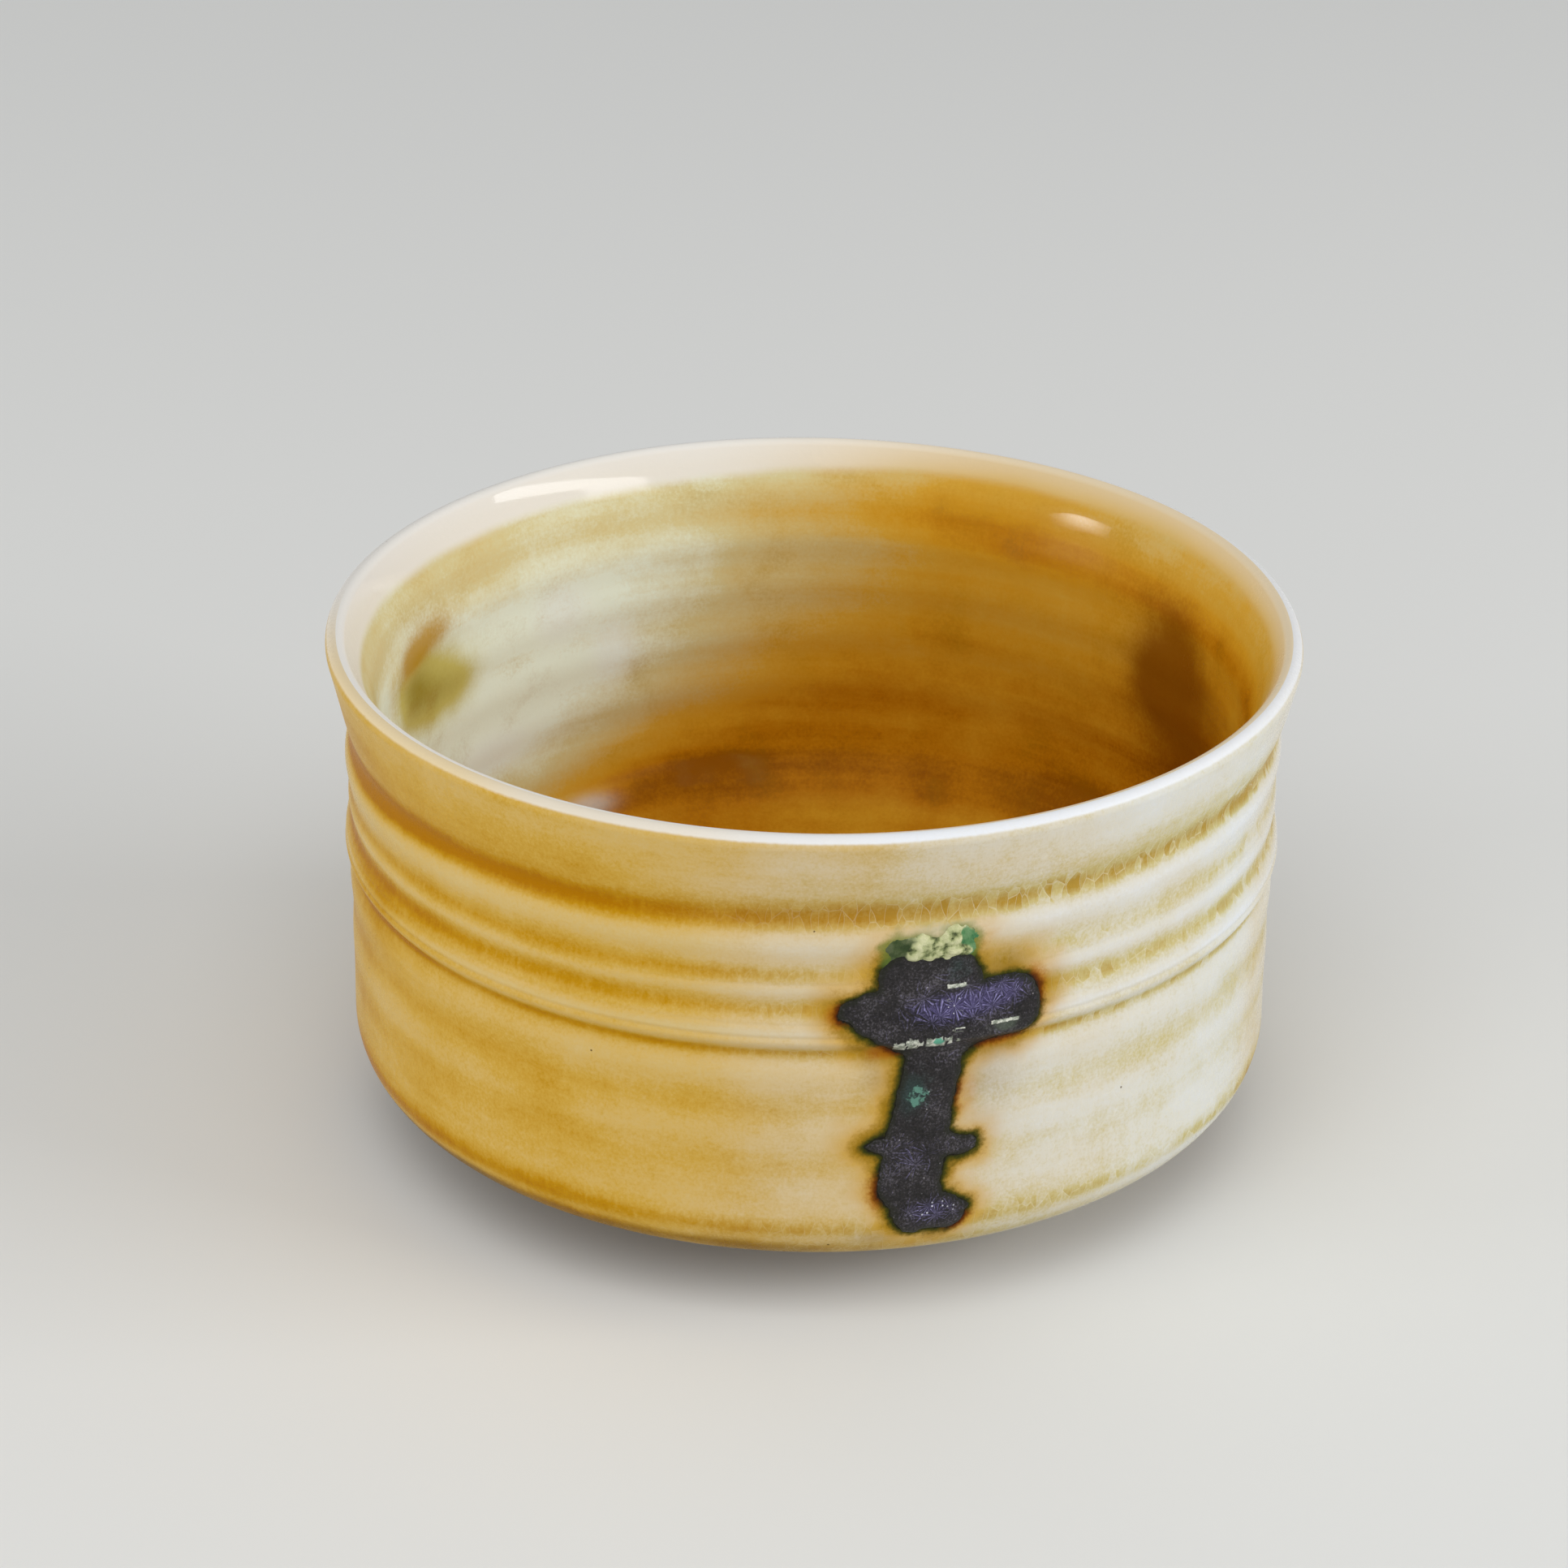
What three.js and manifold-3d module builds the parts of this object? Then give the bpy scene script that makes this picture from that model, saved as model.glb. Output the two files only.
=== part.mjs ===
// Wheel-thrown tea bowl: a clay wall with throwing rings on a luted foot ring, a poured glaze
// lining, a dipped outer glaze coat, and a dark cross-shaped glaze run topped by a crust of ash.
// Sizes are in millimetres and +Z is up. The origin is the centre of the foot's resting face,
// and the front of the bowl, which carries the dark run, faces -Y.

import * as THREE from "three";
import { mergeVertices } from "three/addons/utils/BufferGeometryUtils.js";
import Module from "manifold-3d";

// Overall sizes of the glazed bowl
const bowlHeight = 67;
const rimDiameter = 121;

// Lip: a half-round edge that flares out from the upright wall. The stations are the shares of
// the flare's height where its curve has a point.
const lipThickness = 2.6;
const flareWidth = 2.45;
const flareHeight = 11.5;
const flareEase = 1.5;
const flareStations = [0.15, 0.35];

// Wall and floor, measured over the glaze. The wall thickens downwards from the lip, with a
// point of its inside at each station.
const wallThickness = 4.2;
const thickeningHeight = 14;
const thickeningStations = [0.2, 0.4, 0.7, 1];
const floorThickness = 7.2;
const floorCornerRadius = 16;
const floorDish = 1;

// Hip and underside: the wall rounds in to a trimmed edge that was left bare
const hipRadius = 7.5;
const hipWidth = 5.5;
const trimmedEdgeHeight = 8;
const bareEdgeWidth = 1.3;

// Foot ring
const footDiameter = 60;
const footWidth = 5.4;
const footHeight = 6.6;
const footTaper = 0.8;
const footChamfer = 0.9;
const footSeatMargin = 1.2;

// Glaze coats, and the hairline that separates the bodies where one is fused to another
const glazeThickness = 0.7;
const fusedGap = 0.15;

// Throwing rings: how far below the rim each one lies, and how far it stands out of the wall
const throwingRings = [
  { below: 9, swell: 0.2 },
  { below: 11.5, swell: -0.35 },
  { below: 14.6, swell: 0.45 },
  { below: 17.7, swell: 0 },
  { below: 19.8, swell: 0.2 },
  { below: 22.4, swell: -0.1 },
  { below: 25.2, swell: 0.6 },
  { below: 27.2, swell: 0.7 },
  { below: 28.8, swell: -0.15 },
  { below: 31.2, swell: 0.2 },
  { below: 36, swell: 0 },
  { below: 43, swell: 0 },
];

// Dark run: strokes with a round, tapering outline. Each has its two ends, as the distance
// across from the run's middle line and below the rim, and its half width at each end.
const runAzimuth = 14;
const runThickness = 0.6;
const runStrokes = {
  top: {
    fromAcross: -2.9, fromBelow: 19.4, fromRadius: 3.2,
    toAcross: 2.9, toBelow: 19.9, toRadius: 3.2,
  },
  bar: {
    fromAcross: -8.6, fromBelow: 23.4, fromRadius: 2.6,
    toAcross: 10.2, toBelow: 25.4, toRadius: 4,
  },
  belly: {
    fromAcross: -2.5, fromBelow: 26.2, fromRadius: 3.2,
    toAcross: 4.5, toBelow: 27, toRadius: 3,
  },
  stem: {
    fromAcross: 1, fromBelow: 29, fromRadius: 3.4,
    toAcross: -0.8, toBelow: 40.5, toRadius: 3.5,
  },
  dripRight: {
    fromAcross: 0.8, fromBelow: 42.4, fromRadius: 1.8,
    toAcross: 5.6, toBelow: 42.8, toRadius: 1.1,
  },
  dripLeft: {
    fromAcross: -2, fromBelow: 41.6, fromRadius: 1.8,
    toAcross: -7.2, toBelow: 41.8, toRadius: 0.5,
  },
  lowerStem: {
    fromAcross: -1, fromBelow: 41, fromRadius: 3.6,
    toAcross: -2, toBelow: 47.2, toRadius: 3.9,
  },
  pool: {
    fromAcross: -1.3, fromBelow: 51, fromRadius: 3.1,
    toAcross: 4.2, toBelow: 51.4, toRadius: 1.6,
  },
};

// Ash crust, one more stroke that lies along the run's upper edge
const crustThickness = 0.9;
const crustStroke = {
  fromAcross: -3.2, fromBelow: 16.2, fromRadius: 2.4, toAcross: 3, toBelow: 15.6, toRadius: 2.5,
};

// Facets: steps around the bowl, along a round corner of its section, and round a stroke's end
const turnSteps = 48;
const cornerSteps = 5;
const strokeEndSteps = 8;

// Values that follow from the sizes above
const rimRadius = rimDiameter / 2;
const wallRadius = rimRadius - flareWidth;
const lipRadius = lipThickness / 2;
const footRadius = footDiameter / 2;
const clayInset = glazeThickness + fusedGap;
const floorHeight = footHeight + floorThickness;
const hipCentreRadius = wallRadius - hipRadius;
const edgeAngle = Math.acos((hipRadius - hipWidth) / hipRadius);
const hipCentreHeight = trimmedEdgeHeight + hipRadius * Math.sin(edgeAngle);
const glazeEndAngle = edgeAngle - bareEdgeWidth / hipRadius;
const bareStartAngle = glazeEndAngle + fusedGap / hipRadius;
const seamAngle = fusedGap / lipThickness;

function arc(centreRadius, centreHeight, radius, startAngle, endAngle, steps) {
  const points = [];
  for (let i = 0; i <= steps; i += 1) {
    const angle = startAngle + ((endAngle - startAngle) * i) / steps;
    const x = centreRadius + radius * Math.cos(angle);
    points.push(new THREE.Vector2(x, centreHeight + radius * Math.sin(angle)));
  }
  return points;
}

// How far the flared lip stands out of the upright wall at a distance below the rim
function flare(below) {
  const rest = 1 - (below - lipRadius) / flareHeight;
  return flareWidth * Math.max(rest, 0) ** flareEase;
}

// Wall thickness over the glaze, growing from the lip to the upright wall
function thickness(below) {
  const share = Math.min((below - lipRadius) / thickeningHeight, 1);
  return lipThickness + (wallThickness - lipThickness) * share;
}

// Point on the rounded hip, at an angle below its widest line
function hipPoint(angle, inset) {
  const radius = hipRadius - inset;
  return new THREE.Vector2(
    hipCentreRadius + radius * Math.cos(angle), hipCentreHeight - radius * Math.sin(angle));
}

// Section of the outside from the crest of the lip to the end of the glaze, set in by an inset
function outside(inset, crestAngle) {
  const lip = arc(
    rimRadius - lipRadius, bowlHeight - lipRadius, lipRadius - inset, crestAngle, 0, cornerSteps);
  const flared = flareStations.map((share) => ({ below: lipRadius + flareHeight * share, swell: 0 }));
  const wall = [...flared, ...throwingRings]
    .filter(({ below }) => bowlHeight - below > hipCentreHeight)
    .sort((a, b) => a.below - b.below)
    .map(({ below, swell }) => new THREE.Vector2(
      wallRadius + flare(below) + swell - inset, bowlHeight - below));
  const hip = [];
  for (let i = 0; i <= cornerSteps; i += 1) {
    hip.push(hipPoint((glazeEndAngle * i) / cornerSteps, inset));
  }
  return [...lip, ...wall, ...hip];
}

// Section of the inside from the crest of the lip to the axis, set back into the wall by an inset
function inside(inset, crestAngle) {
  const lip = arc(
    rimRadius - lipRadius, bowlHeight - lipRadius, lipRadius - inset, crestAngle, Math.PI, cornerSteps);
  const wall = thickeningStations.map((share) => {
    const below = lipRadius + thickeningHeight * share;
    return new THREE.Vector2(
      wallRadius + flare(below) - thickness(below) + inset, bowlHeight - below);
  });
  const innerRadius = wallRadius - wallThickness;
  const corner = arc(
    innerRadius - floorCornerRadius, floorHeight + floorCornerRadius, floorCornerRadius + inset,
    0, -Math.PI / 2, cornerSteps);
  const middle = new THREE.Vector2(0, floorHeight - floorDish - inset);
  return [...lip, ...wall, ...corner, middle];
}

// Solid of revolution about +Z from a closed section that runs against the clock
function turned(section) {
  const closed = [...section, section[0].clone()];
  const geometry = new THREE.LatheGeometry(closed, turnSteps);
  geometry.rotateX(Math.PI / 2);
  return geometry;
}

function clayBody() {
  const outer = outside(clayInset, Math.PI / 2);
  const bareEdge = [
    hipPoint(bareStartAngle, clayInset),
    hipPoint(bareStartAngle, 0),
    hipPoint(edgeAngle, 0),
  ];
  const underside = [
    new THREE.Vector2(footRadius + footSeatMargin, footHeight),
    new THREE.Vector2(0, footHeight),
  ];
  const inner = inside(clayInset, Math.PI / 2).reverse();
  inner.pop();
  return turned([...outer, ...bareEdge, ...underside, ...inner].reverse());
}

function footRing() {
  const innerRadius = footRadius - footWidth;
  return turned([
    new THREE.Vector2(footRadius, footHeight),
    new THREE.Vector2(innerRadius, footHeight),
    new THREE.Vector2(innerRadius + footTaper, footChamfer),
    new THREE.Vector2(innerRadius + footTaper + footChamfer, 0),
    new THREE.Vector2(footRadius - footTaper - footChamfer, 0),
    new THREE.Vector2(footRadius - footTaper, footChamfer),
  ]);
}

function outerGlaze() {
  const crestAngle = Math.PI / 2 - seamAngle;
  const face = outside(0, crestAngle);
  const back = outside(glazeThickness, crestAngle);
  return turned([...back, ...face.reverse()]);
}

function innerGlaze() {
  const crestAngle = Math.PI / 2 + seamAngle;
  const face = inside(0, crestAngle);
  const back = inside(glazeThickness, crestAngle);
  return turned([...face, ...back.reverse()]);
}

const wasm = await Module();
wasm.setup();

// Closed solid from a geometry, for joining and cutting
function solid(geometry) {
  const bare = geometry.clone();
  bare.deleteAttribute("normal");
  bare.deleteAttribute("uv");
  const merged = mergeVertices(bare);
  return new wasm.Manifold(new wasm.Mesh({
    numProp: 3,
    vertProperties: new Float32Array(merged.attributes.position.array),
    triVerts: new Uint32Array(merged.index.array),
  }));
}

function geometryOf(manifold) {
  const mesh = manifold.getMesh();
  const geometry = new THREE.BufferGeometry();
  geometry.setAttribute("position", new THREE.BufferAttribute(mesh.vertProperties, 3));
  geometry.setIndex(new THREE.BufferAttribute(mesh.triVerts, 1));
  geometry.computeVertexNormals();
  return geometry;
}

// Shell that lies on the outer glaze, a hairline off it
function overlay(depth) {
  const face = outside(-fusedGap - depth, Math.PI / 2);
  const back = outside(-fusedGap, Math.PI / 2);
  return solid(turned([...back, ...face.reverse()]));
}

// Block with the outline of one stroke, standing through the wall at the run's azimuth
function strokeBlock(stroke, grow) {
  const { fromAcross, fromBelow, fromRadius, toAcross, toBelow, toRadius } = stroke;
  const direction = Math.atan2(fromBelow - toBelow, toAcross - fromAcross);
  const length = Math.hypot(toAcross - fromAcross, toBelow - fromBelow);
  const tangent = Math.acos((fromRadius - toRadius) / length);
  const shape = new THREE.Shape();
  shape.absarc(fromAcross, bowlHeight - fromBelow, fromRadius + grow,
    direction + tangent, direction - tangent + 2 * Math.PI, false);
  shape.absarc(toAcross, bowlHeight - toBelow, toRadius + grow,
    direction - tangent, direction + tangent, false);
  const geometry = new THREE.ExtrudeGeometry(shape, {
    depth: rimRadius,
    bevelEnabled: false,
    curveSegments: strokeEndSteps,
  });
  const turn = THREE.MathUtils.degToRad(runAzimuth);
  const across = new THREE.Vector3(Math.cos(turn), Math.sin(turn), 0);
  const up = new THREE.Vector3(0, 0, 1);
  const out = new THREE.Vector3(Math.sin(turn), -Math.cos(turn), 0);
  const placed = new THREE.Matrix4().makeBasis(across, up, out);
  placed.setPosition(out.multiplyScalar(wallRadius / 2));
  return solid(geometry.applyMatrix4(placed));
}

function runBlock(grow) {
  return Object.values(runStrokes)
    .map((stroke) => strokeBlock(stroke, grow))
    .reduce((joined, block) => joined.add(block));
}

function darkRun() {
  return geometryOf(overlay(runThickness).intersect(runBlock(0)));
}

function ashCrust() {
  const lump = overlay(crustThickness).intersect(strokeBlock(crustStroke, 0));
  return geometryOf(lump.subtract(runBlock(fusedGap)));
}

const bowl = new THREE.Group();

function addPiece(name, geometry, colour, roughness) {
  const material = new THREE.MeshStandardMaterial({ color: colour, roughness, metalness: 0 });
  const mesh = new THREE.Mesh(geometry, material);
  mesh.name = name;
  bowl.add(mesh);
}

addPiece("clay_body", clayBody(), 0xc9ad84, 0.9);
addPiece("foot_ring", footRing(), 0xc4a67c, 0.9);
addPiece("outer_glaze", outerGlaze(), 0xd8b468, 0.25);
addPiece("inner_glaze", innerGlaze(), 0xb98a3c, 0.25);
addPiece("dark_run", darkRun(), 0x38343f, 0.5);
addPiece("ash_crust", ashCrust(), 0xa9b58a, 0.8);

export default bowl;
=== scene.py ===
"""Tea bowl: fine turned meshes and fired glazes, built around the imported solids."""

import math

import bpy
import numpy as np
from mathutils import Matrix, Vector, noise


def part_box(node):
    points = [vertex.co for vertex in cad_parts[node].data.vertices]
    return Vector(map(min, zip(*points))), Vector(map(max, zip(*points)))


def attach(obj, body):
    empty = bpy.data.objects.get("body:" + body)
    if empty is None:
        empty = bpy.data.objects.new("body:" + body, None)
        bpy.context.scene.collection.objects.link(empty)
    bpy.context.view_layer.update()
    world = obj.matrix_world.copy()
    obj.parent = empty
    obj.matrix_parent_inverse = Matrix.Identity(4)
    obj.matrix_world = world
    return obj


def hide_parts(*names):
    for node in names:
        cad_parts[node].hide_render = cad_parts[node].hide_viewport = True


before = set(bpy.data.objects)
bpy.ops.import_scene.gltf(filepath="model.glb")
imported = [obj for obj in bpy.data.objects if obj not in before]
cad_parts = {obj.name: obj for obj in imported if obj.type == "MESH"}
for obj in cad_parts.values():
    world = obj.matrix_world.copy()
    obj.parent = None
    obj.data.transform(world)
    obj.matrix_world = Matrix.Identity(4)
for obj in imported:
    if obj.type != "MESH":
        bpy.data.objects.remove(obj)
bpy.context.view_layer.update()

MM = 0.001

# Sizes taken from the solids, in millimetres
RIM_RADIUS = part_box("outer_glaze")[1].x / MM
RIM_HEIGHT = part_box("outer_glaze")[1].z / MM
FOOT_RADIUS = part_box("foot_ring")[1].x / MM
FOOT_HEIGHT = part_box("foot_ring")[1].z / MM

# Section of the glazed wall, in millimetres
LIP_RADIUS = 1.3
LIP_OUTER_END = math.radians(-18)
LIP_INNER_END = math.radians(151)
LIP_SHOULDER = 0.18
FLARE_WIDTH = 2.45
FLARE_HEIGHT = 11.5
FLARE_EASE = 1.5
WALL_THICKNESS = 4.2
THICKENING_HEIGHT = 14
FLOOR_HEIGHT = 13.8
FLOOR_CORNER = 16
FLOOR_DISH = 1
HIP_RADIUS = 7.5
HIP_WIDTH = 5.5
EDGE_HEIGHT = 8
BARE_EDGE_WIDTH = 1.3
GLAZE_THICKNESS = 0.7
CLAY_INSET = 0.85
BARE_CLAY_INSET = 0.25

# Foot ring and the underside, in millimetres
FOOT_WIDTH = 5.4
FOOT_TAPER = 0.8
FOOT_CHAMFER = 0.9
FOOT_SEAT_MARGIN = 1.2
EDGE_ROUND = 0.5
EDGE_ROUND_INSET = 0.1
EDGE_ROUND_RISE = 0.08
EDGE_FLAT_INSET = 0.6
NUB_HEIGHT = 0.7
NUB_RADIUS = 2.2

# Turning marks left on the underside by the trimming tool, in millimetres
TURNING_PITCH = 1.3
TURNING_DEPTH = 0.07

WALL_RADIUS = RIM_RADIUS - FLARE_WIDTH
INNER_RADIUS = WALL_RADIUS - WALL_THICKNESS
HIP_CENTRE_RADIUS = WALL_RADIUS - HIP_RADIUS
EDGE_ANGLE = math.acos((HIP_RADIUS - HIP_WIDTH) / HIP_RADIUS)
HIP_BELOW = RIM_HEIGHT - EDGE_HEIGHT - HIP_RADIUS * math.sin(EDGE_ANGLE)
GLAZE_END_ANGLE = EDGE_ANGLE - BARE_EDGE_WIDTH / HIP_RADIUS
FLOOR_BELOW = RIM_HEIGHT - FLOOR_HEIGHT
CORNER_BELOW = FLOOR_BELOW - FLOOR_CORNER

# Steps around the axis
GLAZE_TURN_STEPS = 320
CLAY_TURN_STEPS = 256
FOOT_TURN_STEPS = 192

# Steps of the arcs in a section, on the faces that show and on those that are hidden
LIP_STEPS = 18
LIP_CROWDING = 1.6
HIP_STEPS = 18
CORNER_STEPS = 36
FLOOR_STEPS = 39
UNDERSIDE_STEPS = 59
BARE_HIP_STEPS = 8
GLAZE_BACK_STEPS = 6
CLAY_LIP_STEPS = 5
CLAY_HIP_STEPS = 4
CORNER_BACK_STEPS = 8

# Straight stretches of a section: from and to below the rim, and the step, in millimetres
WALL_STRETCHES = ((4, 9, 0.5), (9, 19, 0.35), (19, 30.5, 0.16), (30.5, HIP_BELOW, 0.8))
WALL_BACK_STRIDE = 8
LINING_STRETCH = (2.4, CORNER_BELOW, 0.6)
LINING_BACK_STRETCH = (2.4, CORNER_BELOW, 5)
CLAY_STRETCH = (3, 50, 4)
CLAY_BACK_STRETCH = (3, CORNER_BELOW, 5)
RECESS_STEP = 0.35
RECESS_END = 0.2
FOOT_STEP = 0.3

# Rounded lower end of the outer glaze, and where the clay under it gives way to the bare clay
BEAD_SHOULDER = 0.3
BEAD_TURN = 0.01
HIDDEN_CLAY_END = 0.8 * GLAZE_END_ANGLE
BARE_CLAY_START = 0.82 * GLAZE_END_ANGLE

# Points closer than this are merged, in millimetres
MERGE_DISTANCE = 0.004

# Edges that bend less than this are shaded smooth
TURNED_SMOOTH_ANGLE = math.radians(40)
PATCH_SMOOTH_ANGLE = math.radians(50)

# Throwing rings: distance below the rim, and how far each stands out of the wall
THROWING_RINGS = (
    (0, 0), (8.6, 0.15), (11.2, -0.35), (14.7, 0.45), (18.6, 0), (20.8, 0.2), (23.1, -0.1), (26.0, 0.6),
    (27.6, 0.7), (29.1, -0.15), (31.8, 0.2), (36.6, -0.05), (40.9, 0.08), (43.8, 0), (HIP_BELOW, 0), (60, 0),
)

# The rings climb to the right: distance below the rim, and the climb from the bowl's left side to its
# front and from there to its right side
RING_CLIMB = (
    (0, 0, 0), (4, 0.2, 0.2), (10, 1.7, 0.5), (14.7, 1.5, 1.4), (18.8, 1.4, 0.8), (20.9, 1.1, -0.1),
    (23.3, 0.7, -0.4), (29, 0.35, -0.4), (40, 0, 0),
)

# Fine lines left by the tool on the sharp rings: distance below the rim, half width, depth
TOOL_LINES = ((20.1, 0.22, 0.05), (25.3, 0.25, 0.07), (26.9, 0.3, 0.15))

# Dark run: strokes given by both ends, across from the middle line and below the rim, and half widths
RUN_AZIMUTH = math.radians(14)
RUN_STROKES = (
    ((-2.9, 19.6), (2.9, 19.9), 3.2, 3.2),
    ((-9.2, 23.6), (-6.2, 24.1), 1.4, 3.1),
    ((-6.2, 24.1), (-2.4, 24.8), 3.1, 4.2),
    ((-1.0, 24.6), (9.7, 24.8), 3.9, 4.1),
    ((-2.2, 26.4), (4.5, 27.0), 3.3, 3.0),
    ((0.9, 29.0), (-1.0, 40.5), 3.5, 3.5),
    ((0.8, 42.3), (5.1, 42.6), 1.8, 1.3),
    ((-2.0, 41.6), (-7.2, 41.8), 2.5, 0.3),
    ((-1.0, 41.0), (-2.0, 47.2), 3.6, 3.8),
    ((-1.6, 48.6), (1.4, 50.9), 2.6, 2.3),
    ((-1.2, 51.4), (2.6, 51.6), 2.7, 2.3),
    ((2.8, 51.4), (5.3, 51.0), 1.7, 0.3),
)
RUN_BLEND = 0.9
RUN_RISE = 0.32
RUN_SHOULDER = 1.6
CRUST_STROKE = ((-3.4, 16.2), (3.2, 15.5), 2.1, 2.2)


def srgb(red, green, blue):
    """Linear colour for the 0 to 255 colour that shows on a screen."""
    def linear(value):
        value /= 255
        return value / 12.92 if value <= 0.04045 else ((value + 0.055) / 1.055) ** 2.4
    return (linear(red), linear(green), linear(blue), 1)


def smooth(low, high, value):
    """Smooth step from 0 at low to 1 at high."""
    share = np.clip((value - low) / (high - low), 0, 1)
    return share * share * (3 - 2 * share)


def profile(value, stops):
    """Level at a value, eased from each (place, level) stop to the next."""
    value = np.asarray(value, float)
    level = np.full(value.shape, float(stops[0][1]))
    for (low, before), (high, after) in zip(stops, stops[1:]):
        level += (after - before) * smooth(low, high, value)
    return level


def mound(value, centre, above, below):
    """Bell curve with its own reach on each side."""
    offset = np.asarray(value, float) - centre
    return np.exp(-((offset / np.where(offset < 0, above, below)) ** 2))


# Section of the bowl

def flare(below):
    rest = np.maximum(1 - (np.asarray(below) - LIP_RADIUS) / FLARE_HEIGHT, 0)
    return FLARE_WIDTH * np.minimum(rest, 1) ** FLARE_EASE


def ring_place(below, azimuth):
    """Distance below the rim at which the ring through a point crosses the front."""
    heights, left, right = zip(*RING_CLIMB)
    side = np.sin(azimuth)
    climb = np.where(side < 0, np.interp(below, heights, left), np.interp(below, heights, right))
    return below + climb * side


def ring_swell(place):
    """Throwing rings joined by a smooth curve, with the tool's fine lines cut in."""
    place = np.asarray(place, float)
    heights, swells = (np.array(column, float) for column in zip(*THROWING_RINGS))
    slopes = np.gradient(swells, heights)
    at = np.clip(np.searchsorted(heights, place, side="right") - 1, 0, len(heights) - 2)
    span = heights[at + 1] - heights[at]
    t = np.clip((place - heights[at]) / span, 0, 1)
    curve = (
        (2 * t**3 - 3 * t**2 + 1) * swells[at]
        + (t**3 - 2 * t**2 + t) * span * slopes[at]
        + (3 * t**2 - 2 * t**3) * swells[at + 1]
        + (t**3 - t**2) * span * slopes[at + 1]
    )
    for line, half_width, depth in TOOL_LINES:
        curve = curve - depth * np.exp(-(((place - line) / half_width) ** 2))
    return curve


def wall_radius(below):
    """Radius of the outer glaze without its rings, in millimetres."""
    below = np.asarray(below, float)
    drop = np.clip((below - HIP_BELOW) / HIP_RADIUS, 0, 1)
    hip = HIP_CENTRE_RADIUS + HIP_RADIUS * np.sqrt(1 - drop**2)
    return np.where(below > HIP_BELOW, hip, WALL_RADIUS + flare(below))


def ringed_radius(below, azimuth):
    return wall_radius(below) + ring_swell(ring_place(below, azimuth))


def arc(centre_radius, centre_height, radius, angles):
    return [(centre_radius + radius * math.cos(a), centre_height + radius * math.sin(a)) for a in angles]


def lip_arc(inset, end, steps):
    """From the crest of the lip to an angle, with short steps by the crest, where two glazes meet."""
    crest = math.pi / 2
    angles = crest + (end - crest) * np.linspace(0, 1, steps + 1) ** LIP_CROWDING
    return arc(RIM_RADIUS - LIP_RADIUS, RIM_HEIGHT - LIP_RADIUS, LIP_RADIUS - inset, angles)


def hip_arc(inset, start, end, steps):
    angles = -np.linspace(start, end, steps + 1)
    return arc(HIP_CENTRE_RADIUS, RIM_HEIGHT - HIP_BELOW, HIP_RADIUS - inset, angles)


def wall_stations():
    """Heights below the rim where the wall's section has a point, close where the tool cut."""
    return [
        below for low, high, step in WALL_STRETCHES
        for below in np.arange(low, high - step / 2, step)
    ]


def outer_wall(stations, inset):
    return [(float(wall_radius(below)) - inset, RIM_HEIGHT - below) for below in stations]


def outer_section():
    """From the crest of the lip down to the end of the glaze, and back up behind it."""
    stations = wall_stations()
    face = lip_arc(0, LIP_OUTER_END, LIP_STEPS) + outer_wall(stations, 0)
    face += hip_arc(0, 0, GLAZE_END_ANGLE, HIP_STEPS)
    bead = GLAZE_THICKNESS / 2
    last = GLAZE_END_ANGLE + bead / HIP_RADIUS
    face += hip_arc(bead * BEAD_SHOULDER, last, last, 0)
    face += hip_arc(bead, last + BEAD_TURN, last, 0)
    back = hip_arc(GLAZE_THICKNESS, GLAZE_END_ANGLE, 0, GLAZE_BACK_STEPS)
    back += outer_wall(stations[::-WALL_BACK_STRIDE], GLAZE_THICKNESS)
    back += lip_arc(GLAZE_THICKNESS, LIP_OUTER_END, GLAZE_BACK_STEPS)[::-1]
    return face + back + face[:1]


def inner_wall(below, inset):
    share = np.clip((below - LIP_RADIUS) / THICKENING_HEIGHT, 0, 1)
    lip_thickness = 2 * LIP_RADIUS + LIP_SHOULDER
    thickness = lip_thickness + (WALL_THICKNESS - lip_thickness) * share * (2 - share)
    return float(WALL_RADIUS + flare(below) - thickness + inset), RIM_HEIGHT - below


def inner_corner(inset, start, end, steps):
    angles = np.linspace(start, end, steps + 1)
    return arc(INNER_RADIUS - FLOOR_CORNER, FLOOR_HEIGHT + FLOOR_CORNER, FLOOR_CORNER + inset, angles)


def inner_section():
    """From the crest of the lip down the inside to the axis, and back up behind it."""
    face = lip_arc(0, LIP_INNER_END, LIP_STEPS)
    face += [inner_wall(below, 0) for below in np.arange(*LINING_STRETCH)]
    face += inner_corner(0, 0, -math.pi / 2, CORNER_STEPS)
    floor_edge = INNER_RADIUS - FLOOR_CORNER
    for share in np.linspace(0, 1, FLOOR_STEPS + 1)[1:]:
        face.append((floor_edge * (1 - share), FLOOR_HEIGHT - FLOOR_DISH * float(smooth(0, 1, share))))
    back = [(0, FLOOR_HEIGHT - FLOOR_DISH - GLAZE_THICKNESS)]
    back += inner_corner(GLAZE_THICKNESS, -math.pi / 2, 0, CORNER_BACK_STEPS)
    back += [inner_wall(below, GLAZE_THICKNESS) for below in np.arange(*LINING_BACK_STRETCH)[::-1]]
    back += lip_arc(GLAZE_THICKNESS, LIP_INNER_END, GLAZE_BACK_STEPS)[::-1]
    return face + back + face[:1]


def turning_wave(place):
    """Turning marks along the underside, about 0, in millimetres."""
    return TURNING_DEPTH * np.sin(2 * np.pi * place / TURNING_PITCH)


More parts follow.
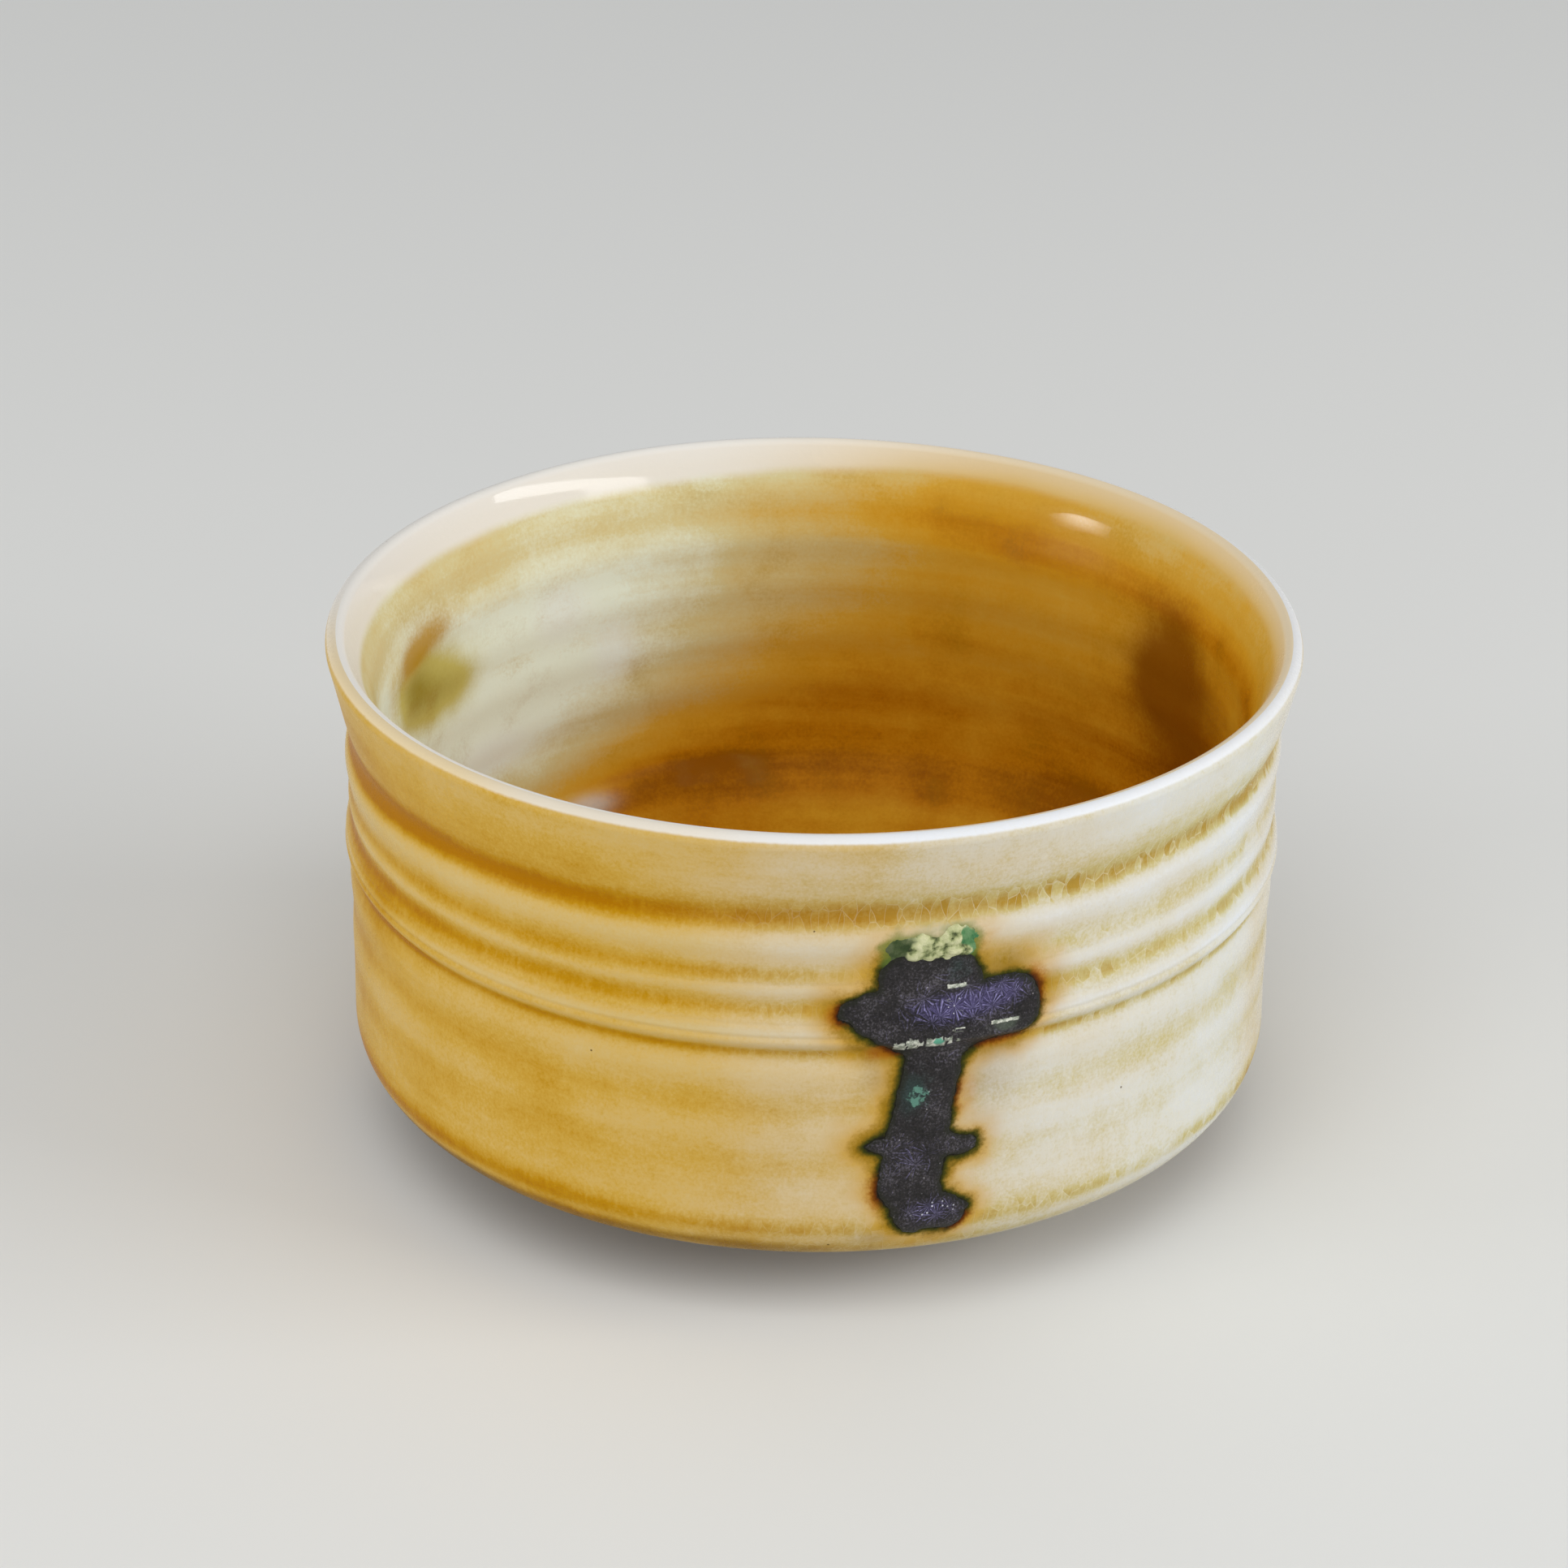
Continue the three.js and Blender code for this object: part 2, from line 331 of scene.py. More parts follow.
def clay_section():
    """The clay under the glazes, with the bare trimmed edge and the underside in full detail."""
    face = lip_arc(CLAY_INSET, LIP_OUTER_END, CLAY_LIP_STEPS)
    face += outer_wall(np.arange(*CLAY_STRETCH), CLAY_INSET)
    face += hip_arc(CLAY_INSET, 0, HIDDEN_CLAY_END, CLAY_HIP_STEPS)
    round_angle = EDGE_ANGLE - EDGE_ROUND / HIP_RADIUS
    face += hip_arc(BARE_CLAY_INSET, BARE_CLAY_START, round_angle, BARE_HIP_STEPS)
    edge_radius = WALL_RADIUS - HIP_WIDTH
    face.append((edge_radius - EDGE_ROUND_INSET, EDGE_HEIGHT + EDGE_ROUND_RISE))
    flat_radius = edge_radius - EDGE_FLAT_INSET
    face.append((flat_radius, EDGE_HEIGHT))
    seat_radius = FOOT_RADIUS + FOOT_SEAT_MARGIN
    for share in np.linspace(0, 1, UNDERSIDE_STEPS + 1)[1:]:
        radius = flat_radius + (seat_radius - flat_radius) * share
        height = EDGE_HEIGHT + (FOOT_HEIGHT - EDGE_HEIGHT) * share
        face.append((radius, height + turning_wave(radius)))
    recess_radius = FOOT_RADIUS - FOOT_WIDTH
    face.append((recess_radius, FOOT_HEIGHT))
    for radius in np.arange(recess_radius - RECESS_STEP, RECESS_END, -RECESS_STEP):
        nub = NUB_HEIGHT * math.exp(-((radius / NUB_RADIUS) ** 2))
        face.append((radius, FOOT_HEIGHT + TURNING_DEPTH + turning_wave(radius) - nub))
    face.append((0, FOOT_HEIGHT - NUB_HEIGHT))
    back = [(0, FLOOR_HEIGHT - FLOOR_DISH - CLAY_INSET)]
    back += inner_corner(CLAY_INSET, -math.pi / 2, 0, CORNER_BACK_STEPS)
    back += [inner_wall(below, CLAY_INSET) for below in np.arange(*CLAY_BACK_STRETCH)[::-1]]
    back += lip_arc(CLAY_INSET, LIP_INNER_END, CLAY_LIP_STEPS)[::-1]
    return face + back[:-1] + face[:1]


def foot_section():
    """Foot ring with softened corners, closed against the underside."""
    inside = FOOT_RADIUS - FOOT_WIDTH
    corners = (
        (FOOT_RADIUS, FOOT_HEIGHT), (FOOT_RADIUS - FOOT_TAPER, FOOT_CHAMFER),
        (FOOT_RADIUS - FOOT_TAPER - FOOT_CHAMFER, 0), (inside + FOOT_TAPER + FOOT_CHAMFER, 0),
        (inside + FOOT_TAPER, FOOT_CHAMFER), (inside, FOOT_HEIGHT),
    )
    section = []
    for (start, low), (end, high) in zip(corners, corners[1:]):
        count = max(2, round(math.hypot(end - start, high - low) / FOOT_STEP))
        for share in np.arange(count) / count:
            section.append((start + (end - start) * share, low + (high - low) * share))
    return section + [corners[-1], corners[0]]


# Making of the meshes

def start_piece(name):
    """One vertex at the origin, in edit mode, ready to be extruded."""
    bpy.ops.object.select_all(action="DESELECT")
    bpy.ops.mesh.primitive_plane_add(size=MM, location=(0, 0, 0))
    piece = bpy.context.object
    piece.name = name
    piece.data.name = name
    bpy.ops.object.mode_set(mode="EDIT")
    bpy.ops.mesh.select_all(action="SELECT")
    bpy.ops.mesh.merge(type="CENTER")
    return piece


def turned(name, section, steps):
    """Solid of revolution: the section is drawn by extruding a point, then spun about the axis."""
    piece = start_piece(name)
    points = [Vector((radius * MM, 0, height * MM)) for radius, height in section]
    bpy.ops.transform.translate(value=points[0])
    for here, there in zip(points, points[1:]):
        bpy.ops.mesh.extrude_region_move(TRANSFORM_OT_translate={"value": there - here})
    bpy.ops.mesh.select_all(action="SELECT")
    bpy.ops.mesh.spin(steps=steps, angle=2 * math.pi, center=(0, 0, 0), axis=(0, 0, 1))
    bpy.ops.mesh.select_all(action="SELECT")
    bpy.ops.mesh.remove_doubles(threshold=MERGE_DISTANCE * MM)
    bpy.ops.mesh.normals_make_consistent(inside=False)
    bpy.ops.object.mode_set(mode="OBJECT")
    bpy.ops.object.shade_smooth_by_angle(angle=TURNED_SMOOTH_ANGLE)
    return piece


def points_of(piece):
    """The piece's points, in millimetres."""
    flat = np.zeros(len(piece.data.vertices) * 3)
    piece.data.vertices.foreach_get("co", flat)
    return flat.reshape(-1, 3) / MM


def move_points(piece, points):
    piece.data.vertices.foreach_set("co", (points * MM).ravel())
    piece.data.update()


def place_of(points):
    """Azimuth from the front, positive to the right, radius and distance below the rim of each point."""
    x, y, z = points.T
    return np.arctan2(x, -y), np.hypot(x, y), RIM_HEIGHT - z


def at_place(azimuth, radius, below):
    return np.stack((radius * np.sin(azimuth), -radius * np.cos(azimuth), RIM_HEIGHT - below), axis=-1)


def paint(piece, name, values):
    """Writes one value per point for the material to read."""
    attribute = piece.data.attributes.new(name, "FLOAT", "POINT")
    attribute.data.foreach_set("value", np.asarray(values, np.float32))


# Hand of the potter: how far the wall wanders inwards and the rim downwards, and where, in millimetres
WALL_WANDER = 0.12
WALL_WANDER_HEIGHTS = (10, 24)
RIM_WANDER = 0.12
RIM_WANDER_REACH = (8, 1)

# Waves around the bowl: how many, how high, shift, and twist with each millimetre of height
WALL_WAVES = ((2, 0.5, 0.7, 0), (3, 0.3, 1.9, 1 / 14), (5, 0.2, 0, -1 / 9))
RIM_WAVES = ((2, 0.6, -0.9, 0), (5, 0.4, 0.4, 0))


def waves(azimuth, rows, height=0):
    return sum(
        share * np.sin(count * azimuth + shift + twist * height)
        for count, share, shift, twist in rows
    )


def hand_thrown(points):
    """Draws the perfect round slightly out of true."""
    azimuth, radius, below = place_of(points)
    height = RIM_HEIGHT - below
    sway = 1 + waves(azimuth, WALL_WAVES, height)
    outward = np.clip(radius / WALL_RADIUS, 0, 1)
    pull = WALL_WANDER * sway * smooth(*WALL_WANDER_HEIGHTS, height) * outward
    dip = 1 + waves(azimuth, RIM_WAVES)
    lowered = below + RIM_WANDER * dip * smooth(*RIM_WANDER_REACH, below)
    return at_place(azimuth, radius - pull, lowered)


# Outer glaze coat

# Where the outer glaze lies thick or thin: distance below the rim at the front, reach above and
# below that, and how much thicker or thinner it is
OUTER_POOLS = (
    (8.6, 3.6, 2.2, 0.12), (11.5, 1.8, 1.5, 0.58), (14.8, 1.4, 1.5, -0.24), (18.8, 1.3, 1.0, 0.2),
    (20.9, 0.6, 0.6, -0.14), (23.4, 1.4, 1.1, 0.36), (26.3, 0.7, 0.45, -0.26), (27.8, 0.4, 0.5, -0.06),
    (29.1, 0.55, 0.8, 0.4), (31.8, 1.2, 1.5, -0.08), (36.6, 1.8, 1.8, 0.13), (40.9, 1.5, 1.5, -0.06),
    (44.2, 1.8, 2.0, 0.09), (53.2, 1.6, 1.1, 0.36), (56.2, 1.2, 1.6, 0.34),
)
OUTER_BASE = 0.4

# Thin collar under the lip on the right: distance below the rim with its reach above and below, depth, and
# the angles in degrees over which it sets in
COLLAR = (3, 2, 2.5)
COLLAR_DEPTH = 0.14
COLLAR_AROUND = (20, 42)

# Wide pools on the left flank: azimuth in degrees, distance below the rim, half the size each way
FLANK_POOLS = ((-68, 14.2, 13, 1.5), (-68, 26.6, 13, 2.0), (-68, 31, 13, 2.6))
FLANK_DEPTH = 0.27

# Spots where the outer glaze lies thicker or thinner: azimuth in degrees, distance below the rim, half the
# size each way, and the change
GLAZE_SPOTS = (
    (25, 7, 11, 3, -0.13), (46, 56, 24, 2.4, -0.2), (50, 21.5, 6, 3.5, -0.09), (-45, 29, 8, 1, -0.1),
    (-8, 19, 11, 1.2, 0.2), (-62, 26, 9, 1.4, 0.2), (-73, 44, 7, 12, 0.1),
)

# Painted shade at the foot of the outer glaze, a dark brown band where the bowl nears the floor: azimuth in
# degrees, and its strength
FOOT_SHADE_AROUND = ((-100, 0), (-80, 1.25), (-48, 1.2), (-32, 0.78), (-4, 0.75), (16, 0))

# How far the dark run's colour bleeds into the glaze, across from its middle line; it goes further at the
# upper right, and less far beside the lower left
BLEED_ACROSS = ((-14, 1.5), (-4, 1.3), (2, 1.1), (8, 1.1), (16, 1.3))
WIDE_BLEED = 0.7
WIDE_BLEED_BELOW = (22, 16)
WIDE_BLEED_ACROSS = (2, 8)
CLEAN_BLEED = 0.45
CLEAN_SIDES = ((-8.5, 48, 4, 6),)

# Edges of the dark run that burnt brown instead of green: across, below, and half the size each way
BROWN_EDGES = (
    (-10.8, 24.2, 1.8, 2), (-5, 29, 3.2, 1.4), (8, 29, 4.5, 1.4), (13.4, 22.4, 1.6, 3.4),
    (-6.4, 48.5, 2, 3.5), (-4.5, 20, 1.6, 2), (4.6, 36, 1.4, 3), (4.2, 53, 2.5, 1.6),
)

# Olive halos beside the dark run: across, below, half the size each way, and strength
OLIVE_HALOS = (
    (9.2, 19.2, 3, 1.9, 0.7), (-6.2, 29.3, 2.4, 1.3, 0.7), (7.4, 34.6, 4, 5, 0.32),
    (8.6, 30.2, 3.5, 1.6, 0.32), (15.4, 23.5, 1.6, 2.2, 0.32), (-12.1, 23.7, 1.4, 1.8, 0.32),
    (-6.2, 32.4, 1.8, 2, 0.32), (-6.2, 54.6, 2.4, 1.2, 0.32),
)

# Drips that ran down the lower wall: azimuth in degrees, half width, depth
DRIPS = ((-31, 7, 0.16), (-52, 4, 0.07), (-8, 5, 0.06), (118, 6, 0.12), (165, 9, 0.12), (-140, 8, 0.14))
DRIP_START = (33, 42)

# Around the bowl, in degrees: how deep the pools are, and how amber the glaze is; the amber is partly the
# glaze's own colour and partly painted light, creamier on the lit right side and more amber on the shaded
# left
POOL_AROUND = (
    (-180, 1.1), (-120, 1.3), (-75, 1.5), (-58, 1.4), (-38, 1), (0, 0.95), (30, 0.85), (46, 0.66), (70, 1.1),
    (180, 1.1),
)
TONE_AND_LIGHT_AROUND = (
    (-180, 0.75), (-110, 1), (-18, 1), (2, 0.6), (16, 0.36), (32, 0.26), (46, 0.15), (60, 0.1), (72, 0.34),
    (110, 0.45), (180, 0.75),
)
LIP_TONE_AROUND = (
    (-180, 0.2), (-100, 0.3), (-72, 1), (-45, 1), (-30, 0.6), (-15, 0.5), (0, 0.15), (12, 0), (100, 0.1),
    (180, 0.2),
)

# Fades on the outer coat, from none to full: below the rim, or in degrees around
RINGS_TOP = (1, 3)
RINGS_FOOT = (HIP_BELOW, HIP_BELOW - 4)
LIP_FADE = (1.05, 0.3)
LIP_GLOSS_AROUND = (100, 75)
FOOT_SHADE_BELOW = (54, 56.4)
CRACKLE_LEFT = (-20, 30)
CRACKLE_RIGHT = (150, 90)

# How the lower edge of the outer glaze wanders, as a share of the hip's angle
GLAZE_EDGE_WAVES = ((3, 0.035, 0.5, 0), (7, 0.021, 1.3, 0), (19, 0.01575, 0, 0))

# Ragged outlines of the run and the crust: size of the bumps, how far they reach, and a seed
RUN_RAGS = ((2.1, 0.32, 3.1), (0.8, 0.24, 7.7))
CRUST_RAGS = ((1.7, 0.8, 12.3), (0.6, 0.4, 18.6))

# Reach across within which the distance to the run or the crust is measured, the distance that is given
# beyond it, and how far from the run its halos and brown edges go, in millimetres
RUN_REACH = 24
CRUST_REACH = 14
FAR_DISTANCE = 20.0
HALO_REACH = 10


def bells(first, second, places):
    """Sum of bell shaped spots: both places, and half the size each way."""
    total = np.zeros(len(first))
    for middle, level, half_width, half_height in places:
        total += np.exp(-(((first - middle) / half_width) ** 2) - ((second - level) / half_height) ** 2)
    return total


def spots(first, second, rows):
    """Sum of bell shaped spots, each with its strength as the last value."""
    return sum(strength * bells(first, second, (place,)) for *place, strength in rows)


def stroke_distance(across, below, stroke):
    (from_across, from_below), (to_across, to_below), from_radius, to_radius = stroke
    step_across = to_across - from_across
    step_below = to_below - from_below
    share = (across - from_across) * step_across + (below - from_below) * step_below
    share = np.clip(share / (step_across**2 + step_below**2), 0, 1)
    away = np.hypot(across - from_across - share * step_across, below - from_below - share * step_below)
    return away - from_radius - (to_radius - from_radius) * share


def ragged(across, below, rows):
    """Small uneven push of an outline, so that it looks flowed and not drawn."""
    total = np.zeros(len(across))
    for size, amount, seed in rows:
        push = [noise.noise(Vector((a / size, b / size, seed))) for a, b in zip(across, below)]
        total += amount * np.array(push)
    return total


def run_distance(across, below):
    """Distance to the outline of the dark run, negative inside, in millimetres."""
    total = stroke_distance(across, below, RUN_STROKES[0])
    for stroke in RUN_STROKES[1:]:
        other = stroke_distance(across, below, stroke)
        share = np.clip(0.5 + 0.5 * (other - total) / RUN_BLEND, 0, 1)
        total = other + (total - other) * share - RUN_BLEND * share * (1 - share)
    return total + ragged(across, below, RUN_RAGS)


def crust_distance(across, below):
    return stroke_distance(across, below, CRUST_STROKE) + ragged(across, below, CRUST_RAGS)


def across_of(points):
    """Distance across from the run's middle line, and how far each point lies towards its side."""
    x, y, _ = points.T
    across = x * math.cos(RUN_AZIMUTH) + y * math.sin(RUN_AZIMUTH)
    towards = x * math.sin(RUN_AZIMUTH) - y * math.cos(RUN_AZIMUTH)
    return across, towards


def near_run(points, distance, reach):
    """A distance near the run's side of the bowl, and a far value everywhere else."""
    across, towards = across_of(points)
    below = RIM_HEIGHT - points[:, 2]
    near = (towards > 0) & (np.abs(across) < reach)
    result = np.full(len(points), FAR_DISTANCE)
    result[near] = distance(across[near], below[near])
    return result


def make_outer_coat():
    piece = turned("outer_glaze_coat", outer_section(), GLAZE_TURN_STEPS)
    azimuth, radius, below = place_of(points_of(piece))
    ring = ring_place(below, azimuth)
    on_wall = smooth(*RINGS_TOP, below) * smooth(*RINGS_FOOT, below)
    radius = radius + ring_swell(ring) * on_wall
    hip_angle = np.arctan2(below - HIP_BELOW, radius - HIP_CENTRE_RADIUS)
    on_hip = below > HIP_BELOW
    hip_radius = np.hypot(below - HIP_BELOW, radius - HIP_CENTRE_RADIUS)
    wandered = hip_angle * (1 + waves(azimuth, GLAZE_EDGE_WAVES) * hip_angle / GLAZE_END_ANGLE)
    radius = np.where(on_hip, HIP_CENTRE_RADIUS + hip_radius * np.cos(wandered), radius)
    below = np.where(on_hip, HIP_BELOW + hip_radius * np.sin(wandered), below)
    points = at_place(azimuth, radius, below)

    degrees = np.degrees(azimuth)
    deepness = profile(degrees, POOL_AROUND)
    pool = np.full(len(points), OUTER_BASE)
    for centre, above, under, depth in OUTER_POOLS:
        pool += depth * mound(ring, centre, above, under) * (deepness if depth > 0 else 1)
    for middle, half_width, depth in DRIPS:
        pool += depth * mound(degrees, middle, half_width, half_width) * smooth(*DRIP_START, below)
    pool += FLANK_DEPTH * bells(degrees, below, FLANK_POOLS)
    pool += spots(degrees, below, GLAZE_SPOTS)
    pool -= COLLAR_DEPTH * mound(below, *COLLAR) * smooth(*COLLAR_AROUND, degrees)
    paint(piece, "pool", pool)
    # Tone: partly the glaze's own colour, partly painted light, cream where the light falls on the right
    paint(piece, "tone", profile(degrees, TONE_AND_LIGHT_AROUND))
    lip = smooth(*LIP_FADE, below)
    paint(piece, "lip", lip)
    paint(piece, "lip_gloss", lip * smooth(*LIP_GLOSS_AROUND, np.abs(degrees)))
    # Painted shade: a dark band at the foot of the glaze, where the bowl nears the floor
    paint(piece, "foot_shade", smooth(*FOOT_SHADE_BELOW, below) * profile(degrees, FOOT_SHADE_AROUND))
    paint(piece, "lip_tone", profile(degrees, LIP_TONE_AROUND))
    paint(piece, "crackled", smooth(*CRACKLE_LEFT, degrees) * smooth(*CRACKLE_RIGHT, degrees))
    distance = near_run(points, run_distance, RUN_REACH)
    across = across_of(points)[0]
    bleed = profile(across, BLEED_ACROSS)
    bleed += WIDE_BLEED * smooth(*WIDE_BLEED_BELOW, below) * smooth(*WIDE_BLEED_ACROSS, across)
    bleed -= CLEAN_BLEED * bells(across, below, CLEAN_SIDES)
    near = distance < HALO_REACH
    paint(piece, "run_distance", distance)
    paint(piece, "bleed_distance", distance / bleed)
    paint(piece, "olive_halo", spots(across, below, OLIVE_HALOS) * near)
    paint(piece, "crust_distance", near_run(points, crust_distance, CRUST_REACH))
    paint(piece, "brown_edge", bells(across, below, BROWN_EDGES) * near)
    move_points(piece, hand_thrown(points))
    return piece


# Inner glaze lining

# Finger rings of the inside, in millimetres
FINGER_PITCH = 7
FINGER_DEPTH = 0.1
FINGER_TOP = (2, 8)
FINGER_CENTRE = (1, 8)
FLOOR_MARGIN = 2

# Bead of glaze under the lip and the glint on it: azimuth in degrees, distance below the rim, half the size
# each way
GLAZE_BEAD = ((141, 3.65, 5, 1.5),)
GLAZE_BEAD_HEIGHT = 0.17
BEAD_GLINT = ((141, 4.7, 3.5, 1),)

# Deep amber side of the lining, partly the glaze's own colour and partly painted shade on the side turned
# from the light and towards the floor, the pale side partly painted light: its middle in degrees, then by
# distance below the rim half the angle that it takes up, and its strength
AMBER_AZIMUTH = 90
AMBER_HALF_ANGLE = (
    (0, 84), (4, 98), (8, 100), (13, 98), (24, 98), (32, 108), (40, 122), (45, 138), (49, 170), (52, 230),
)
AMBER_STRENGTH = (
    (0, 0.5), (4, 0.58), (6.5, 0.69), (8.8, 0.81), (11, 0.81), (13, 0.69), (20, 0.66), (27, 0.8), (38, 0.86),
    (44, 0.98), (48, 0.95), (51, 0.84), (54, 0.8),
)
AMBER_EDGE = 32

# Heart of the amber side, straw tint of the pale side, and the darker floor, partly pooled glaze and partly
# painted shade in the bowl's well: strengths, with the fades around and below
HEART_STRENGTH = 0.12
HEART_TURN = (60, 15)
HEART_TOP = (7, 11)
HEART_FOOT = (50, 42)
PALE_SIDE_TURN = (60, 120)
STRAW_STRENGTH = 0.3
STRAW_TOP = (0.5, 5.5)
STRAW_FOOT = (17, 8)
STRAW_SPOT_STRENGTH = 0.24
STRAW_SPOTS = ((-100, 15, 5, 4),)
FLOOR_POOL_AND_SHADE_STRENGTH = 0.62
FLOOR_POOL_AND_SHADE_BELOW = (34, 50)

# Pale lip of the lining: where it ends below the rim, how much lower on the pale side, and its fades
PALE_LIP_END = 3.9
PALE_LIP_DROP = 1.8
PALE_LIP_FADE = (0, 2.6)
TAN_LIP_TURN = (108, 60)
CREST_BELOW = (1.3, 0.1)
WET_LIP_BELOW = (6, 3)
WET_LIP_AROUND = (-80, -110)

# Stains and blooms: azimuth in degrees, distance below the rim, half width in degrees and half height; the
# last pale bloom is a painted highlight in the corner between wall and floor
OLIVE_STAINS = ((-107, 17.2, 6.5, 4.6), (-107.5, 19.5, 5.5, 4.5), (-114, 19.5, 8, 5.5), (-119, 22.5, 7.5, 4))
RUSTY_STAINS = ((-112, 12.8, 7, 2.6), (-106.5, 14, 4, 2))
BROWN_STAINS = (
    (118.5, 12.4, 8, 4.2), (118, 17.4, 7.5, 3), (114.5, 23, 12, 5.5), (124.5, 22, 5, 5), (117, 31, 11, 6.5),
)
PALE_BLOOMS_AND_GLINT = ((-141, 18.5, 5, 4.5), (-127, 35.5, 9, 3.2), (-150, 26, 4, 5), (-143, 46.8, 5, 1.4))


def make_inner_lining():
    piece = turned("inner_glaze_lining", inner_section(), GLAZE_TURN_STEPS)
    azimuth, radius, below = place_of(points_of(piece))
    degrees = np.degrees(azimuth)
    in_corner = CORNER_BELOW + np.hypot(below - CORNER_BELOW, INNER_RADIUS - radius)
    path = np.where(below < CORNER_BELOW, below, in_corner)
    finger = FINGER_DEPTH * np.sin(2 * np.pi * path / FINGER_PITCH - azimuth) * smooth(*FINGER_TOP, below)
    finger += GLAZE_BEAD_HEIGHT * bells(degrees, below, GLAZE_BEAD)
    upright = smooth(FLOOR_BELOW - FLOOR_MARGIN, CORNER_BELOW, below)
    lying = (1 - upright) * smooth(*FINGER_CENTRE, radius)
    points = at_place(azimuth, radius - finger * upright, below - finger * lying)

    # Amber partly painted shade: darker on the side turned from the light, paler on the lit side
    turn = np.abs((degrees - AMBER_AZIMUTH + 180) % 360 - 180)
    pale_side = smooth(*PALE_SIDE_TURN, turn)
    half = profile(below, AMBER_HALF_ANGLE)
    amber = smooth(half + AMBER_EDGE, half - AMBER_EDGE, turn) * profile(below, AMBER_STRENGTH)
    heart = smooth(*HEART_TURN, turn) * smooth(*HEART_TOP, below) * smooth(*HEART_FOOT, below)
    amber += HEART_STRENGTH * heart
    straw = STRAW_STRENGTH * smooth(*STRAW_TOP, below) * smooth(*STRAW_FOOT, below) * pale_side
    straw += STRAW_SPOT_STRENGTH * bells(degrees, below, STRAW_SPOTS)
    # Darker towards the floor: partly pooled glaze, partly painted shade in the bowl's well
    deep = FLOOR_POOL_AND_SHADE_STRENGTH * smooth(*FLOOR_POOL_AND_SHADE_BELOW, below)
    paint(piece, "amber", np.clip(np.maximum(amber, straw + deep), 0, 1))
    lip_end = PALE_LIP_END + PALE_LIP_DROP * pale_side
    paint(piece, "lip", smooth(*PALE_LIP_FADE, lip_end - below))
    wet_lip = smooth(*WET_LIP_BELOW, below) * smooth(*WET_LIP_AROUND, degrees)
    paint(piece, "gloss", np.maximum(wet_lip, bells(degrees, below, BEAD_GLINT)))
    paint(piece, "tan_lip", smooth(*TAN_LIP_TURN, turn))
    paint(piece, "crest", smooth(*CREST_BELOW, below))
    paint(piece, "olive_stain", bells(degrees, below, OLIVE_STAINS))
    paint(piece, "rusty_stain", bells(degrees, below, RUSTY_STAINS))
    paint(piece, "brown_stain", bells(degrees, below, BROWN_STAINS))
    paint(piece, "bloom_and_glint", bells(degrees, below, PALE_BLOOMS_AND_GLINT))
    move_points(piece, hand_thrown(points))
    return piece


# Clay body and foot ring

# Toasted clay and turning marks: margin outside the foot, and fades by height above the floor
TOAST_MARGIN = 8
FOOT_TOAST_HEIGHTS = (2.5, 0)
FOOT_MARKS_LOW = (0.6 * FOOT_CHAMFER, 1.6 * FOOT_CHAMFER)
FOOT_MARKS_HIGH = (FOOT_HEIGHT, FOOT_HEIGHT - 1)


def make_clay_body():
    piece = turned("clay_body_bare", clay_section(), CLAY_TURN_STEPS)
    points = points_of(piece)
    azimuth, radius, _ = place_of(points)
    paint(piece, "toast", smooth(FOOT_RADIUS + TOAST_MARGIN, WALL_RADIUS - HIP_WIDTH, radius))
    # Tone around the bowl, partly painted light: the clay's finish pales it on the lit right side
    paint(piece, "tone", profile(np.degrees(azimuth), TONE_AND_LIGHT_AROUND))
    move_points(piece, hand_thrown(points))
    return piece


def make_foot_ring():
    piece = turned("foot_ring_turned", foot_section(), FOOT_TURN_STEPS)
    points = points_of(piece)
    azimuth, radius, below = place_of(points)
    height = RIM_HEIGHT - below
    middle = FOOT_RADIUS - FOOT_WIDTH / 2
    side = np.where(radius > middle, 1, -1)
    ripple = TURNING_DEPTH * (1 + np.sin(2 * np.pi * height / TURNING_PITCH + azimuth))
    on_side = smooth(*FOOT_MARKS_LOW, height) * smooth(*FOOT_MARKS_HIGH, height)
    points = at_place(azimuth, radius - side * ripple * on_side, below)
    paint(piece, "toast", smooth(*FOOT_TOAST_HEIGHTS, height))
    paint(piece, "tone", profile(np.degrees(azimuth), TONE_AND_LIGHT_AROUND))
    move_points(piece, points)
    return piece


# Dark run and ash crust

# Flat sheets that the run and the crust are cut from: first and last corner, each across and below the rim,
# and the size of a face
RUN_SHEET = ((-12, 14), (16, 56), 0.25)
CRUST_SHEET = ((-9, 10), (9, 20), 0.2)

# Drawing of a cut sheet onto its outline: rounds, width over which the slope is felt, least slope
OUTLINE_ROUNDS = 4
OUTLINE_PROBE = 0.05
LEAST_SLOPE = 0.5
PATCH_THICKNESS = 0.3


